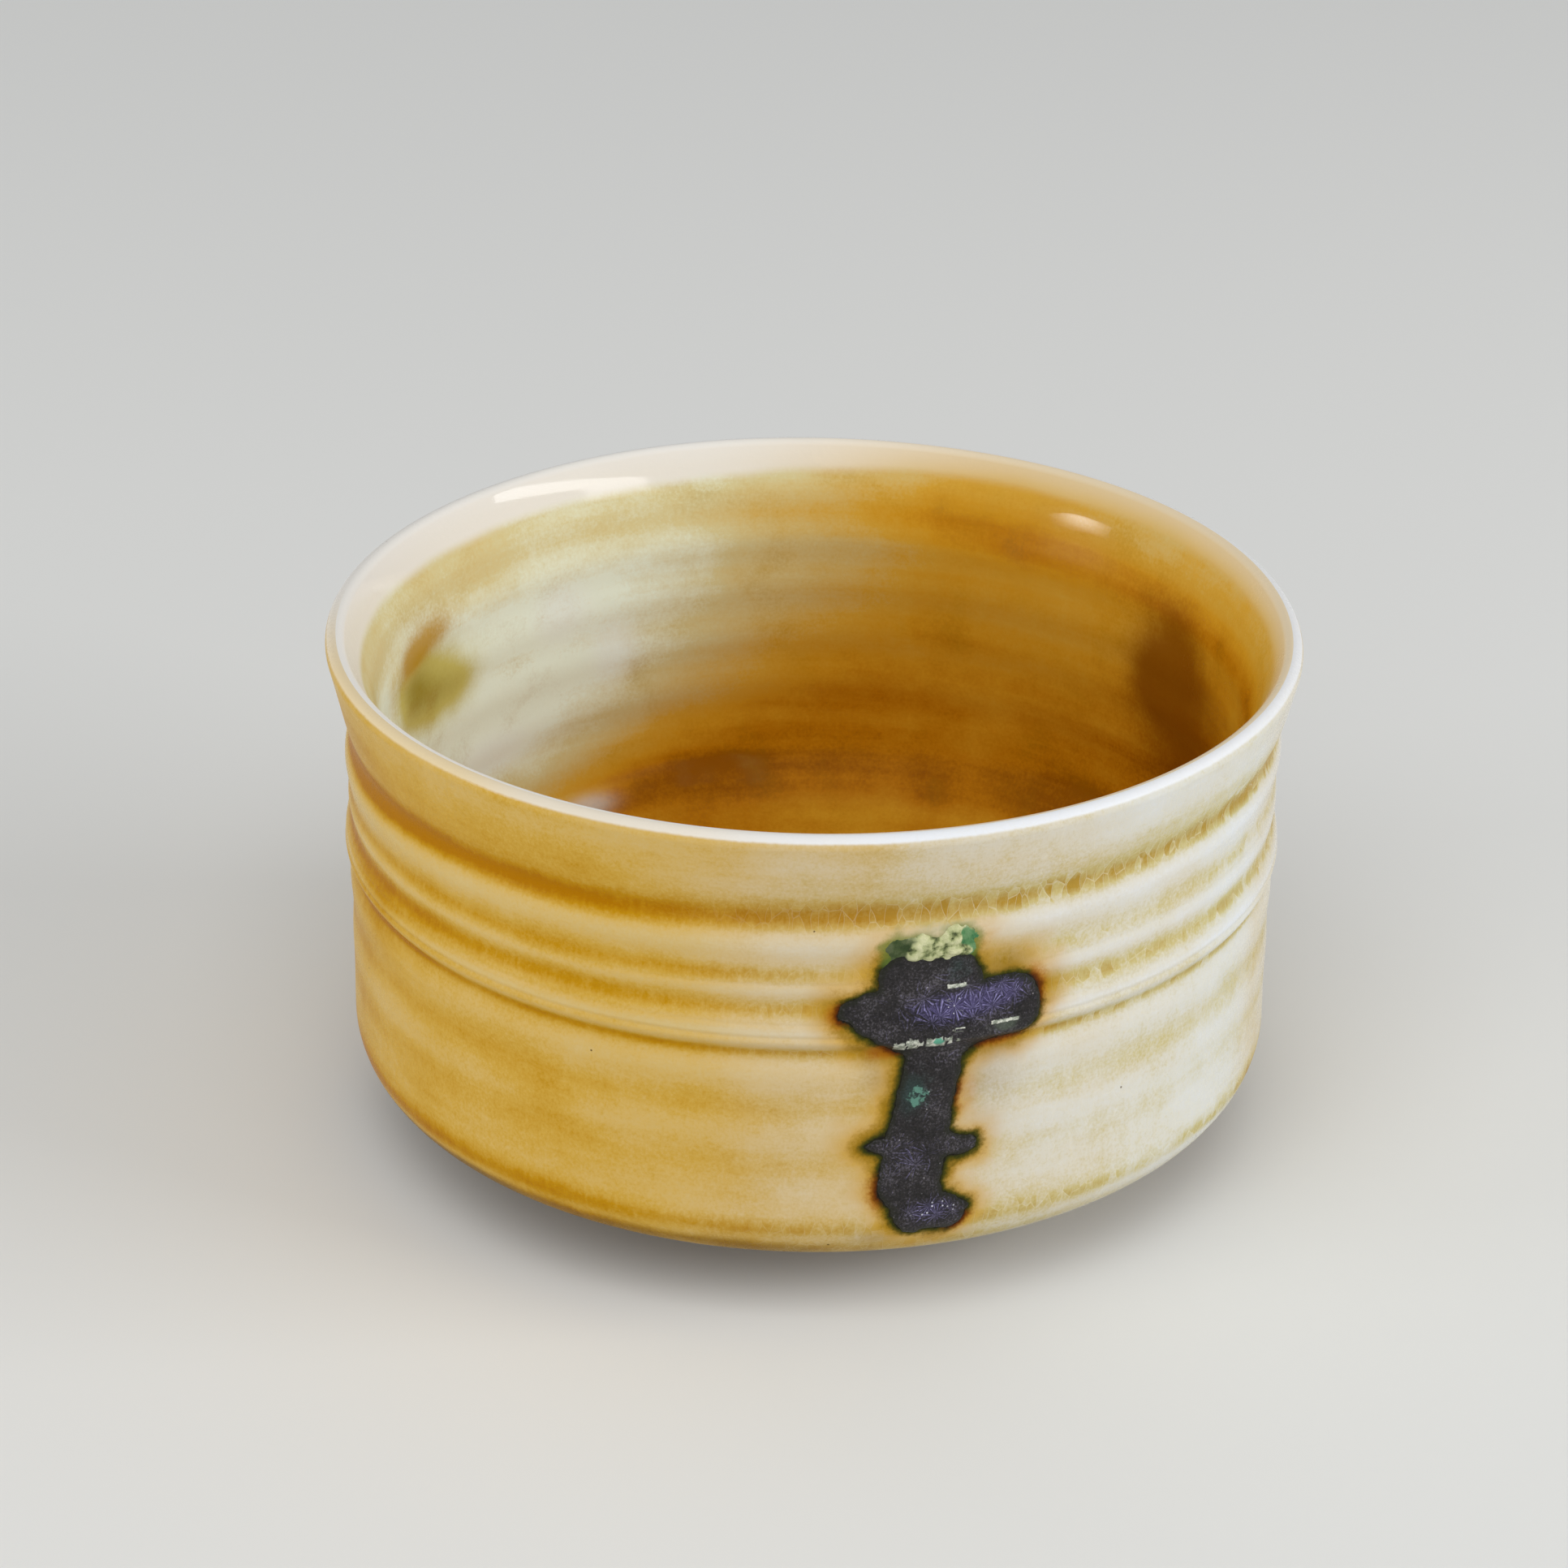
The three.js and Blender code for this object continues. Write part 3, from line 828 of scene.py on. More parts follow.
def cut_patch(name, distance, low, high, pitch):
    """Sheet of small faces, cut to a distance field and drawn onto its outline; flat, in millimetres."""
    counts = [round((b - a) / pitch) for a, b in zip(low, high)]
    bpy.ops.object.select_all(action="DESELECT")
    bpy.ops.mesh.primitive_grid_add(x_subdivisions=counts[0], y_subdivisions=counts[1], size=MM)
    piece = bpy.context.object
    piece.name = name
    piece.data.name = name
    flat = points_of(piece)
    across = low[0] + (flat[:, 0] + 0.5) * (high[0] - low[0])
    below = low[1] + (0.5 - flat[:, 1]) * (high[1] - low[1])
    move_points(piece, np.stack((across, -below, 0 * below), axis=-1))
    outside = distance(across, below) > 0
    corners = np.zeros(len(piece.data.polygons) * 4, int)
    piece.data.polygons.foreach_get("vertices", corners)
    drop = outside[corners].reshape(-1, 4).sum(axis=1) > 2
    bpy.ops.object.mode_set(mode="EDIT")
    bpy.ops.mesh.select_mode(type="FACE")
    bpy.ops.mesh.select_all(action="DESELECT")
    bpy.ops.object.mode_set(mode="OBJECT")
    piece.data.polygons.foreach_set("select", drop)
    bpy.ops.object.mode_set(mode="EDIT")
    bpy.ops.mesh.delete(type="FACE")
    bpy.ops.mesh.select_all(action="SELECT")
    bpy.ops.mesh.delete_loose()
    bpy.ops.mesh.select_all(action="SELECT")
    bpy.ops.mesh.region_to_loop()
    bpy.ops.object.mode_set(mode="OBJECT")
    border = np.zeros(len(piece.data.vertices), bool)
    piece.data.vertices.foreach_get("select", border)
    flat = points_of(piece)
    for _ in range(OUTLINE_ROUNDS):
        across, below = flat[border, 0], -flat[border, 1]
        here = distance(across, below)
        slope_across = (distance(across + OUTLINE_PROBE, below) - here) / OUTLINE_PROBE
        slope_below = (distance(across, below + OUTLINE_PROBE) - here) / OUTLINE_PROBE
        steep = np.maximum(slope_across**2 + slope_below**2, LEAST_SLOPE**2)
        flat[border, 0] -= here * slope_across / steep
        flat[border, 1] += here * slope_below / steep
    move_points(piece, flat)
    return piece, flat[:, 0], -flat[:, 1]


def wrap_patch(piece, across, below, rise):
    """Lays a flat patch on the outer glaze, raised by a height, and closes it to a solid."""
    azimuth = RUN_AZIMUTH + np.arcsin(across / WALL_RADIUS)
    radius = ringed_radius(below, azimuth) + rise
    move_points(piece, hand_thrown(at_place(azimuth, radius, below)))
    bpy.ops.object.mode_set(mode="EDIT")
    bpy.ops.mesh.select_mode(type="VERT")
    bpy.ops.mesh.select_all(action="SELECT")
    bpy.ops.mesh.remove_doubles(threshold=MERGE_DISTANCE * MM)
    bpy.ops.object.mode_set(mode="OBJECT")
    bpy.ops.object.modifier_add(type="SOLIDIFY")
    thicken = piece.modifiers[-1]
    thicken.thickness = PATCH_THICKNESS * MM
    thicken.offset = -1
    bpy.ops.object.modifier_apply(modifier=thicken.name)
    bpy.ops.object.shade_smooth_by_angle(angle=PATCH_SMOOTH_ANGLE)


# Spots on the dark run: across, below, half the size each way, and strength
CRYSTALS = (
    (9.3, 22.6, 3.2, 2.2, 0.8), (1, 24.1, 4, 2, 0.8), (4.6, 23.6, 3, 1.6, 0.8), (-1.5, 43, 3.5, 3, 0.3),
    (0.8, 50.8, 3.4, 1.8, 0.6),
)
RUN_GLINTS = ((4.4, 23.9, 4.6, 1.3, 1), (0.9, 50.7, 2.8, 1.2, 1))
TURQUOISE_FLECKS = ((-1.4, 35.2, 1.9, 2.4, 1), (0.9, 27.9, 1.2, 0.7, 1))
TEAL_FLECKS = ((-1.8, 34.8, 2.2, 3, 1), (3.2, 19, 2.4, 2, 0.55))
DULL_PATCHES = ((9, 26.9, 2.4, 0.9, 1),)
RUN_SPOTS = {
    "crystal": CRYSTALS, "glint": RUN_GLINTS, "turquoise": TURQUOISE_FLECKS, "teal": TEAL_FLECKS,
    "dull": DULL_PATCHES,
}

# The run's thin edge sinks this far into the outer glaze, in millimetres
RUN_SINK = 0.03

# Pale lines where the dark glaze thinned over a ring: both ends across, distance below, half width
PALE_LINES = (
    (-4.3, -2.9, 28.1, 0.66), (-2.9, -1.6, 28.0, 0.74), (-1.7, -0.3, 27.95, 0.34), (-0.4, 1.8, 27.9, 0.66),
    (1.7, 2.5, 27.85, 0.66), (3.1, 3.5, 27.8, 0.26), (3.0, 4.1, 26.3, 0.1),
    (7.3, 10.7, 26.2, 0.24), (2.0, 4.2, 20.95, 0.26),
)
PALE_LINE_OUTER_FADE = 0.35
PALE_LINE_INNER_FADE = 0.25
NO_PALE_LINE = 99.0


def pale_lines(across, ring):
    """Height over the nearest pale line, in half widths of that line, and how far it has faded in."""
    offset = np.full(len(across), NO_PALE_LINE)
    faded_in = np.zeros(len(across))
    for start, end, place, half_width in PALE_LINES:
        here = (ring - place) / half_width
        along = smooth(start - PALE_LINE_OUTER_FADE, start + PALE_LINE_INNER_FADE, across)
        along *= smooth(end + PALE_LINE_OUTER_FADE, end - PALE_LINE_INNER_FADE, across)
        nearer = (along > 0) & (np.abs(here) < np.abs(offset))
        offset[nearer] = here[nearer]
        faded_in[nearer] = along[nearer]
    return offset, faded_in


def make_dark_run():
    piece, across, below = cut_patch("dark_glaze_run", run_distance, *RUN_SHEET)
    depth = -run_distance(across, below)
    shoulder = np.clip(depth / RUN_SHOULDER, 0, 1)
    rise = RUN_RISE * np.sqrt(1 - (1 - shoulder) ** 2) - RUN_SINK
    azimuth = RUN_AZIMUTH + np.arcsin(across / WALL_RADIUS)
    ring = ring_place(below, azimuth)
    offset, faded_in = pale_lines(across, ring)
    paint(piece, "depth", depth)
    paint(piece, "line_offset", offset)
    paint(piece, "line", faded_in)
    for name, rows in RUN_SPOTS.items():
        paint(piece, name, spots(across, below, rows))
    wrap_patch(piece, across, below, rise)
    return piece


# Crust: lumps and uneven limits of its glassy ends, as size, amount and seed, then heights in millimetres
CRUST_LUMPS = ((1.1, 0.75, 21.4), (0.45, 0.35, 33.8))
LUMP_LEVEL = 0.6
GLASS_RAGS = ((1.6, 2.4, 41.9),)
LEFT_GLASS = (-1.4, -3.4)
RIGHT_GLASS = (3.5, 4.6)
GLASS_FLATNESS = 0.75
CRUST_SHOULDER = 1.2
CRUST_BASE = 0.2
CRUST_LUMP_HEIGHT = 0.5
CRUST_LIMITS = (0.05, 0.9)
CRUST_SINK = 0.05


def make_ash_crust():
    piece, across, below = cut_patch("ash_crust_lumps", crust_distance, *CRUST_SHEET)
    depth = np.clip(-crust_distance(across, below) / CRUST_SHOULDER, 0, 1)
    lump = LUMP_LEVEL + ragged(across, below, CRUST_LUMPS)
    uneven = ragged(across, below, GLASS_RAGS)
    left_glass = smooth(*LEFT_GLASS, across + uneven)
    right_glass = smooth(*RIGHT_GLASS, across + uneven)
    crusted = 1 - GLASS_FLATNESS * np.maximum(left_glass, right_glass)
    paint(piece, "lump", lump)
    paint(piece, "left_glass", left_glass)
    paint(piece, "right_glass", right_glass)
    height = np.clip(CRUST_BASE + CRUST_LUMP_HEIGHT * lump, *CRUST_LIMITS)
    wrap_patch(piece, across, below, np.sqrt(depth) * height * crusted - CRUST_SINK)
    return piece


# Short calls that add nodes

def feed(tree, socket, value):
    """Links a socket to another one, or gives it a plain value."""
    if isinstance(value, bpy.types.NodeSocket):
        tree.links.new(value, socket)
    else:
        socket.default_value = value


def painted(tree, name):
    node = tree.nodes.new("ShaderNodeAttribute")
    node.attribute_name = name
    return node.outputs["Fac"]


def calc(tree, operation, *values):
    node = tree.nodes.new("ShaderNodeMath")
    node.operation = operation
    for socket, value in zip(node.inputs, values):
        feed(tree, socket, value)
    return node.outputs["Value"]


def times(tree, first, second):
    return calc(tree, "MULTIPLY", first, second)


def ease(tree, value, low, high):
    """Smooth step from 0 at low to 1 at high."""
    node = tree.nodes.new("ShaderNodeMapRange")
    node.interpolation_type = "SMOOTHSTEP"
    feed(tree, node.inputs["Value"], value)
    feed(tree, node.inputs["From Min"], low)
    feed(tree, node.inputs["From Max"], high)
    return node.outputs["Result"]


def colours(tree, value, *stops):
    """Colour along a row of (place, colour) stops."""
    node = tree.nodes.new("ShaderNodeValToRGB")
    elements = node.color_ramp.elements
    while len(elements) < len(stops):
        elements.new(0.5)
    for element, (place, colour) in zip(elements, stops):
        element.position = place
        element.color = colour
    feed(tree, node.inputs["Fac"], value)
    return node.outputs["Color"]


# Sockets of a mix node that take and give colours
MIX_FIRST = 6
MIX_SECOND = 7
MIX_RESULT = 2


def mix(tree, share, first, second):
    node = tree.nodes.new("ShaderNodeMix")
    node.data_type = "RGBA"
    feed(tree, node.inputs["Factor"], share)
    feed(tree, node.inputs[MIX_FIRST], first)
    feed(tree, node.inputs[MIX_SECOND], second)
    return node.outputs[MIX_RESULT]


def object_place(tree, stretch=(1, 1, 1)):
    """Object coordinates, stretched along the axes."""
    place = tree.nodes.new("ShaderNodeTexCoord")
    mapping = tree.nodes.new("ShaderNodeMapping")
    mapping.inputs["Scale"].default_value = stretch
    tree.links.new(place.outputs["Object"], mapping.inputs["Vector"])
    return mapping.outputs["Vector"]


def clouds(tree, place, size, detail, roughness=0.5, distortion=0):
    """Noise about 0, with blobs of a size in millimetres."""
    node = tree.nodes.new("ShaderNodeTexNoise")
    feed(tree, node.inputs["Vector"], place)
    feed(tree, node.inputs["Scale"], calc(tree, "DIVIDE", 1 / MM, size))
    feed(tree, node.inputs["Detail"], detail)
    feed(tree, node.inputs["Roughness"], roughness)
    feed(tree, node.inputs["Distortion"], distortion)
    return calc(tree, "SUBTRACT", node.outputs["Fac"], 0.5)


def cells(tree, place, size, feature):
    node = tree.nodes.new("ShaderNodeTexVoronoi")
    node.feature = feature
    feed(tree, node.inputs["Vector"], place)
    feed(tree, node.inputs["Scale"], calc(tree, "DIVIDE", 1 / MM, size))
    return node


def new_group(name, inputs, outputs):
    tree = bpy.data.node_groups.new(name, "ShaderNodeTree")
    for title, value in inputs.items():
        socket = tree.interface.new_socket(name=title, in_out="INPUT", socket_type="NodeSocketFloat")
        socket.default_value = value
    for title in outputs:
        tree.interface.new_socket(name=title, in_out="OUTPUT", socket_type="NodeSocketFloat")
    return tree, tree.nodes.new("NodeGroupInput").outputs, tree.nodes.new("NodeGroupOutput").inputs


def place_group(tree, group, **values):
    node = tree.nodes.new("ShaderNodeGroup")
    node.node_tree = group
    for title, value in values.items():
        feed(tree, node.inputs[title.replace("_", " ").title()], value)
    return node.outputs


def mottle_group():
    """Uneven thickness of a fired glaze: clouds, streaks and lines around the bowl, upright hairs, grain."""
    tree, given, made = new_group(
        "glaze_mottle", {"Cloud Size": 22, "Streak Size": 30, "Grain Size": 0.5},
        ("Cloud", "Streak", "Line", "Fringe", "Grain"))
    plain = object_place(tree)
    streaked = object_place(tree, (1, 1, 7))
    lined = object_place(tree, (1, 1, 26))
    upright = object_place(tree, (1, 1, 0.22))
    feed(tree, made["Cloud"], clouds(tree, plain, given["Cloud Size"], 3, 0.5, 0.4))
    feed(tree, made["Streak"], clouds(tree, streaked, given["Streak Size"], 4, 0.6))
    feed(tree, made["Line"], clouds(tree, lined, given["Streak Size"], 3, 0.6))
    feed(tree, made["Fringe"], clouds(tree, upright, 0.7, 2, 0.6))
    feed(tree, made["Grain"], clouds(tree, plain, given["Grain Size"], 2, 0.6))
    return tree


def crackle_group():
    """Fine net of cracks in a glaze, drawn out upright."""
    tree, given, made = new_group("glaze_crackle", {"Cell Size": 1.6, "Line Width": 0.05}, ("Line", "Cell"))
    place = object_place(tree, (1, 1, 0.42))
    edge = cells(tree, place, given["Cell Size"], "DISTANCE_TO_EDGE").outputs["Distance"]
    feed(tree, made["Line"], ease(tree, edge, given["Line Width"], 0))
    shade = cells(tree, place, given["Cell Size"], "F1").outputs["Color"]
    feed(tree, made["Cell"], calc(tree, "SUBTRACT", shade, 0.5))
    return tree


def speck_group():
    """Scattered specks: pinholes, iron spots or grit."""
    tree, given, made = new_group("specks", {"Spacing": 6, "Size": 0.03, "Share": 0.4}, ("Speck",))
    dots = cells(tree, object_place(tree), given["Spacing"], "F1")
    full_size = times(tree, given["Size"], 0.5)
    dot = ease(tree, dots.outputs["Distance"], given["Size"], full_size)
    tone = tree.nodes.new("ShaderNodeSeparateColor")
    tree.links.new(dots.outputs["Color"], tone.inputs["Color"])
    kept = calc(tree, "LESS_THAN", tone.outputs["Red"], given["Share"])
    feed(tree, made["Speck"], times(tree, dot, kept))
    return tree


MOTTLE = mottle_group()
CRACKLE = crackle_group()
SPECKS = speck_group()


# Finishes

def new_finish(name, specular):
    finish = bpy.data.materials.new(name)
    finish.use_nodes = True
    shader = finish.node_tree.nodes["Principled BSDF"]
    shader.inputs["Specular IOR Level"].default_value = specular
    return finish, finish.node_tree, shader


def relief(tree, shader, height, distance):
    """Fine relief from a height that changes over the surface, in millimetres."""
    bump = tree.nodes.new("ShaderNodeBump")
    bump.inputs["Strength"].default_value = 1
    bump.inputs["Distance"].default_value = distance * MM
    feed(tree, bump.inputs["Height"], height)
    tree.links.new(bump.outputs["Normal"], shader.inputs["Normal"])


def weighted(tree, base, *terms):
    """Base plus each (value, weight)."""
    total = base
    for value, weight in terms:
        total = calc(tree, "MULTIPLY_ADD", value, weight, total)
    return total


def brushed(tree, name, *terms):
    """A painted value, made uneven by each (value, weight)."""
    return weighted(tree, painted(tree, name), *terms)


def stain(tree, colour, mask, share, stain_colour):
    """Lays a colour over another one where a mask is, at no more than a share."""
    return mix(tree, times(tree, mask, share), colour, stain_colour)


def join_finish(tree, shader, colour, rough, height, depth):
    """Gives a shader its colour, its roughness and a fine relief of a depth in millimetres."""
    feed(tree, shader.inputs["Base Color"], colour)
    feed(tree, shader.inputs["Roughness"], rough)
    relief(tree, shader, height, depth)


# Outer glaze: colours from thin to thick on its cream and on its amber side, and those of its details
CREAM_SIDE = (
    (0.08, srgb(214, 217, 220)), (0.4, srgb(208, 207, 197)), (0.65, srgb(191, 181, 129)),
    (1, srgb(169, 140, 60)),
)
AMBER_SIDE = (
    (0.08, srgb(203, 178, 120)), (0.36, srgb(202, 168, 93)), (0.5, srgb(197, 158, 66)),
    (0.75, srgb(183, 134, 14)), (1, srgb(167, 110, 0)),
)
CREAM_LIP = srgb(224, 226, 229)
TAN_LIP = srgb(222, 202, 162)
FOOT_SHADE_BROWN = srgb(118, 86, 14)
CRACK_CREAM = srgb(226, 218, 190)
BLEED_AMBER = srgb(194, 146, 24)
BLEED_OLIVE = srgb(132, 100, 8)
BLEED_BROWN = srgb(146, 80, 6)
FRINGE_OLIVE = srgb(40, 52, 14)
FRINGE_BROWN = srgb(84, 36, 4)
UNDER_RUN = srgb(30, 29, 24)
ASH_GREEN = srgb(98, 118, 52)
PINHOLE_BROWN = srgb(84, 60, 24)


def amber_glaze():
    finish, tree, shader = new_finish("amber_ash_glaze", specular=0.04)
    mottle = place_group(tree, MOTTLE, cloud_size=24, streak_size=36, grain_size=0.4)
    wide = place_group(tree, MOTTLE, cloud_size=7, streak_size=80, grain_size=1.2)
    crackle = place_group(tree, CRACKLE, cell_size=1.35, line_width=0.045)
    pooled = painted(tree, "pool")
    groove = ease(tree, pooled, 0.44, 0.75)
    crackled = painted(tree, "crackled")
    cracked = times(tree, crackled, weighted(tree, 0.35, (groove, 0.65)))
    celled = times(tree, crackled, weighted(tree, 0.06, (groove, 0.94)))
    pool = weighted(
        tree, pooled,
        (mottle["Cloud"], 0.3), (mottle["Streak"], 0.3), (wide["Streak"], 0.2), (mottle["Line"], 0.12),
        (wide["Cloud"], 0.24), (wide["Grain"], 0.16), (mottle["Grain"], 0.34),
        (times(tree, mottle["Fringe"], groove), 0.28),
        (times(tree, crackle["Cell"], celled), 0.4))
    cream = colours(tree, pool, *CREAM_SIDE)
    amber = colours(tree, pool, *AMBER_SIDE)
    # Cream or amber by the tone, partly painted light: cream on the lit right side, amber on the shaded left
    tone = brushed(tree, "tone", (mottle["Cloud"], 0.5), (mottle["Streak"], 0.25))
    colour = mix(tree, ease(tree, tone, 0, 1), cream, amber)
    lip = brushed(tree, "lip", (mottle["Fringe"], 0.25), (wide["Cloud"], 0.4))
    lip_colour = mix(tree, painted(tree, "lip_tone"), CREAM_LIP, TAN_LIP)
    colour = mix(tree, ease(tree, lip, 0.1, 0.8), colour, lip_colour)
    # Painted shade: a dark brown band at the foot of the glaze
    foot_shade = brushed(tree, "foot_shade", (wide["Cloud"], 0.8), (mottle["Grain"], 0.4))
    colour = stain(tree, colour, ease(tree, foot_shade, 0.1, 1.2), 0.85, FOOT_SHADE_BROWN)
    crack = times(tree, cracked, crackle["Line"])
    colour = stain(tree, colour, crack, 0.34, CRACK_CREAM)

    edge = brushed(tree, "run_distance", (wide["Cloud"], 0.7), (mottle["Grain"], 0.5))
    bleed = brushed(tree, "bleed_distance", (wide["Cloud"], 4.0), (mottle["Grain"], 1.2))
    burnt = brushed(tree, "brown_edge", (wide["Cloud"], 1.0), (mottle["Grain"], 0.4))
    burnt = ease(tree, burnt, 0.2, 0.75)
    colour = stain(tree, colour, ease(tree, bleed, 3.8, 0), 0.85, BLEED_AMBER)
    inner = mix(tree, burnt, BLEED_OLIVE, BLEED_BROWN)
    colour = stain(tree, colour, ease(tree, bleed, 1.7, 0), 0.8, inner)
    uneven = weighted(tree, 1.0, (wide["Cloud"], 1.2), (mottle["Grain"], 0.9))
    halo = times(tree, painted(tree, "olive_halo"), uneven)
    colour = mix(tree, halo, colour, inner)
    fringe = mix(tree, burnt, FRINGE_OLIVE, FRINGE_BROWN)
    colour = stain(tree, colour, ease(tree, edge, 1.05, 0.15), 0.92, fringe)
    colour = mix(tree, ease(tree, edge, 0.3, -0.15), colour, UNDER_RUN)
    ash = brushed(tree, "crust_distance", (wide["Cloud"], 2.5), (mottle["Grain"], 0.6))
    colour = stain(tree, colour, ease(tree, ash, 1.3, -0.3), 0.75, ASH_GREEN)

    pinholes = place_group(tree, SPECKS, spacing=7, size=0.025, share=0.4)
    colour = stain(tree, colour, pinholes["Speck"], 0.8, PINHOLE_BROWN)
    feed(tree, shader.inputs["Coat Weight"], times(tree, painted(tree, "lip_gloss"), 0.3))
    shader.inputs["Coat Roughness"].default_value = 0.12
    rough = weighted(tree, 0.28, (mottle["Cloud"], 0.12), (mottle["Grain"], 0.12))
    height = weighted(
        tree, 0.0,
        (mottle["Grain"], 0.3), (wide["Grain"], 0.4), (mottle["Line"], 0.4), (crack, -0.35),
        (pinholes["Speck"], -1.5))
    join_finish(tree, shader, colour, rough, height, 0.06)
    return finish


# Lining: colours from pale celadon to deep amber, and those of its stains and lip
LINING_DEPTH = (
    (0.04, srgb(230, 239, 221)), (0.26, srgb(211, 199, 148)), (0.44, srgb(208, 179, 108)),
    (0.6, srgb(208, 160, 56)), (0.74, srgb(204, 147, 32)), (0.88, srgb(186, 120, 10)), (1, srgb(148, 87, 0)),
)
BLOOM_AND_GLINT_WHITE = srgb(230, 236, 232)
STAIN_OLIVE = srgb(184, 168, 40)
STAIN_DEEP_OLIVE = srgb(128, 110, 0)
STAIN_RUST = srgb(178, 134, 10)
STAIN_BROWN = srgb(124, 66, 2)
PALE_BAND = srgb(229, 224, 212)
TAN_BAND = srgb(217, 187, 126)
PALE_CREST = srgb(229, 225, 217)
TAN_CREST = srgb(222, 204, 172)


def lining_glaze():
    finish, tree, shader = new_finish("lining_ash_glaze", specular=0.06)
    mottle = place_group(tree, MOTTLE, cloud_size=20, streak_size=44, grain_size=0.45)
    wide = place_group(tree, MOTTLE, cloud_size=9, streak_size=90, grain_size=1.6)
    amber = brushed(
        tree, "amber",
        (mottle["Cloud"], 0.3), (mottle["Streak"], 0.2), (wide["Streak"], 0.35), (wide["Cloud"], 0.16),
        (mottle["Line"], 0.14), (wide["Grain"], 0.08), (mottle["Grain"], 0.14))
    colour = colours(tree, amber, *LINING_DEPTH)
    # Pale blooms of the glaze, and one painted highlight in the corner between wall and floor
    colour = stain(tree, colour, ease(tree, painted(tree, "bloom_and_glint"), 0, 1), 0.5, BLOOM_AND_GLINT_WHITE)
    ragged_edge = ((wide["Cloud"], 0.9), (mottle["Streak"], 0.4), (mottle["Grain"], 0.3))
    olive = brushed(tree, "olive_stain", *ragged_edge)
    colour = stain(tree, colour, ease(tree, olive, 0, 1.3), 0.85, STAIN_OLIVE)
    colour = stain(tree, colour, ease(tree, olive, 1.1, 2.8), 0.75, STAIN_DEEP_OLIVE)
    rusty = brushed(tree, "rusty_stain", (wide["Cloud"], 0.9), (mottle["Grain"], 0.3))
    colour = stain(tree, colour, ease(tree, rusty, 0, 1.1), 0.88, STAIN_RUST)
    brown = brushed(tree, "brown_stain", *ragged_edge)
    colour = stain(tree, colour, ease(tree, brown, 0, 1.35), 0.85, STAIN_BROWN)
    pale_lip = mix(tree, painted(tree, "tan_lip"), PALE_BAND, TAN_BAND)
    crest = mix(tree, painted(tree, "tan_lip"), PALE_CREST, TAN_CREST)
    lip = mix(tree, painted(tree, "crest"), pale_lip, crest)
    band = brushed(tree, "lip", (mottle["Streak"], 0.35), (mottle["Cloud"], 0.4), (wide["Cloud"], 0.3))
    colour = mix(tree, ease(tree, band, 0.05, 0.95), colour, lip)
    pinholes = place_group(tree, SPECKS, spacing=8, size=0.022, share=0.35)
    colour = stain(tree, colour, pinholes["Speck"], 0.7, PINHOLE_BROWN)
    feed(tree, shader.inputs["Coat Weight"], times(tree, painted(tree, "gloss"), 0.8))
    shader.inputs["Coat Roughness"].default_value = 0.05
    rough = weighted(tree, 0.26, (mottle["Cloud"], 0.1), (mottle["Grain"], 0.06))
    height = weighted(
        tree, 0.0,
        (mottle["Grain"], 0.25), (wide["Grain"], 0.5), (mottle["Line"], 0.4), (pinholes["Speck"], -1.5))
    join_finish(tree, shader, colour, rough, height, 0.06)
    return finish


def needle_fans(tree, size):
    """Fans of fine needles that grow out of scattered points on the front of the bowl."""
    place = object_place(tree)
    fans = cells(tree, place, size, "F1")
    away = tree.nodes.new("ShaderNodeVectorMath")
    away.operation = "SUBTRACT"
    tree.links.new(place, away.inputs[0])
    tree.links.new(fans.outputs["Position"], away.inputs[1])
    across, up = (tree.nodes.new("ShaderNodeVectorMath") for _ in range(2))
    for node, axis in ((across, (math.cos(RUN_AZIMUTH), math.sin(RUN_AZIMUTH), 0)), (up, (0, 0, 1))):
        node.operation = "DOT_PRODUCT"
        tree.links.new(away.outputs["Vector"], node.inputs[0])
        node.inputs[1].default_value = axis
    angle = calc(tree, "ARCTAN2", up.outputs["Value"], across.outputs["Value"])
    rays = tree.nodes.new("ShaderNodeTexNoise")
    rays.noise_dimensions = "1D"
    rays.inputs["Scale"].default_value = 1
    rays.inputs["Detail"].default_value = 2
    feed(tree, rays.inputs["W"], weighted(tree, 0.0, (angle, 5.0), (fans.outputs["Color"], 60.0)))
    return calc(tree, "SUBTRACT", rays.outputs["Fac"], 0.5)


# Dark run: colours of its iron glaze and of its violet needles from dark to light, and those of its details
DARK_IRON = ((0, srgb(20, 19, 18)), (0.5, srgb(42, 39, 40)), (1, srgb(92, 88, 92)))
VIOLET_NEEDLES = ((0.15, srgb(46, 42, 66)), (0.55, srgb(74, 67, 108)), (1, srgb(146, 140, 186)))
NEEDLE_FAN_SIZE = 2.6
FLECK_TEAL = srgb(40, 62, 58)
PATCH_GREY = srgb(80, 90, 76)
FLECK_TURQUOISE = srgb(92, 138, 122)
LINE_GREY = srgb(138, 144, 130)
LINE_WHITE = srgb(212, 214, 200)
LINE_TURQUOISE = srgb(92, 164, 138)
GLINT_WHITE = srgb(218, 218, 230)
SPECK_GREY = srgb(176, 172, 176)
RUN_EDGE = srgb(28, 30, 16)


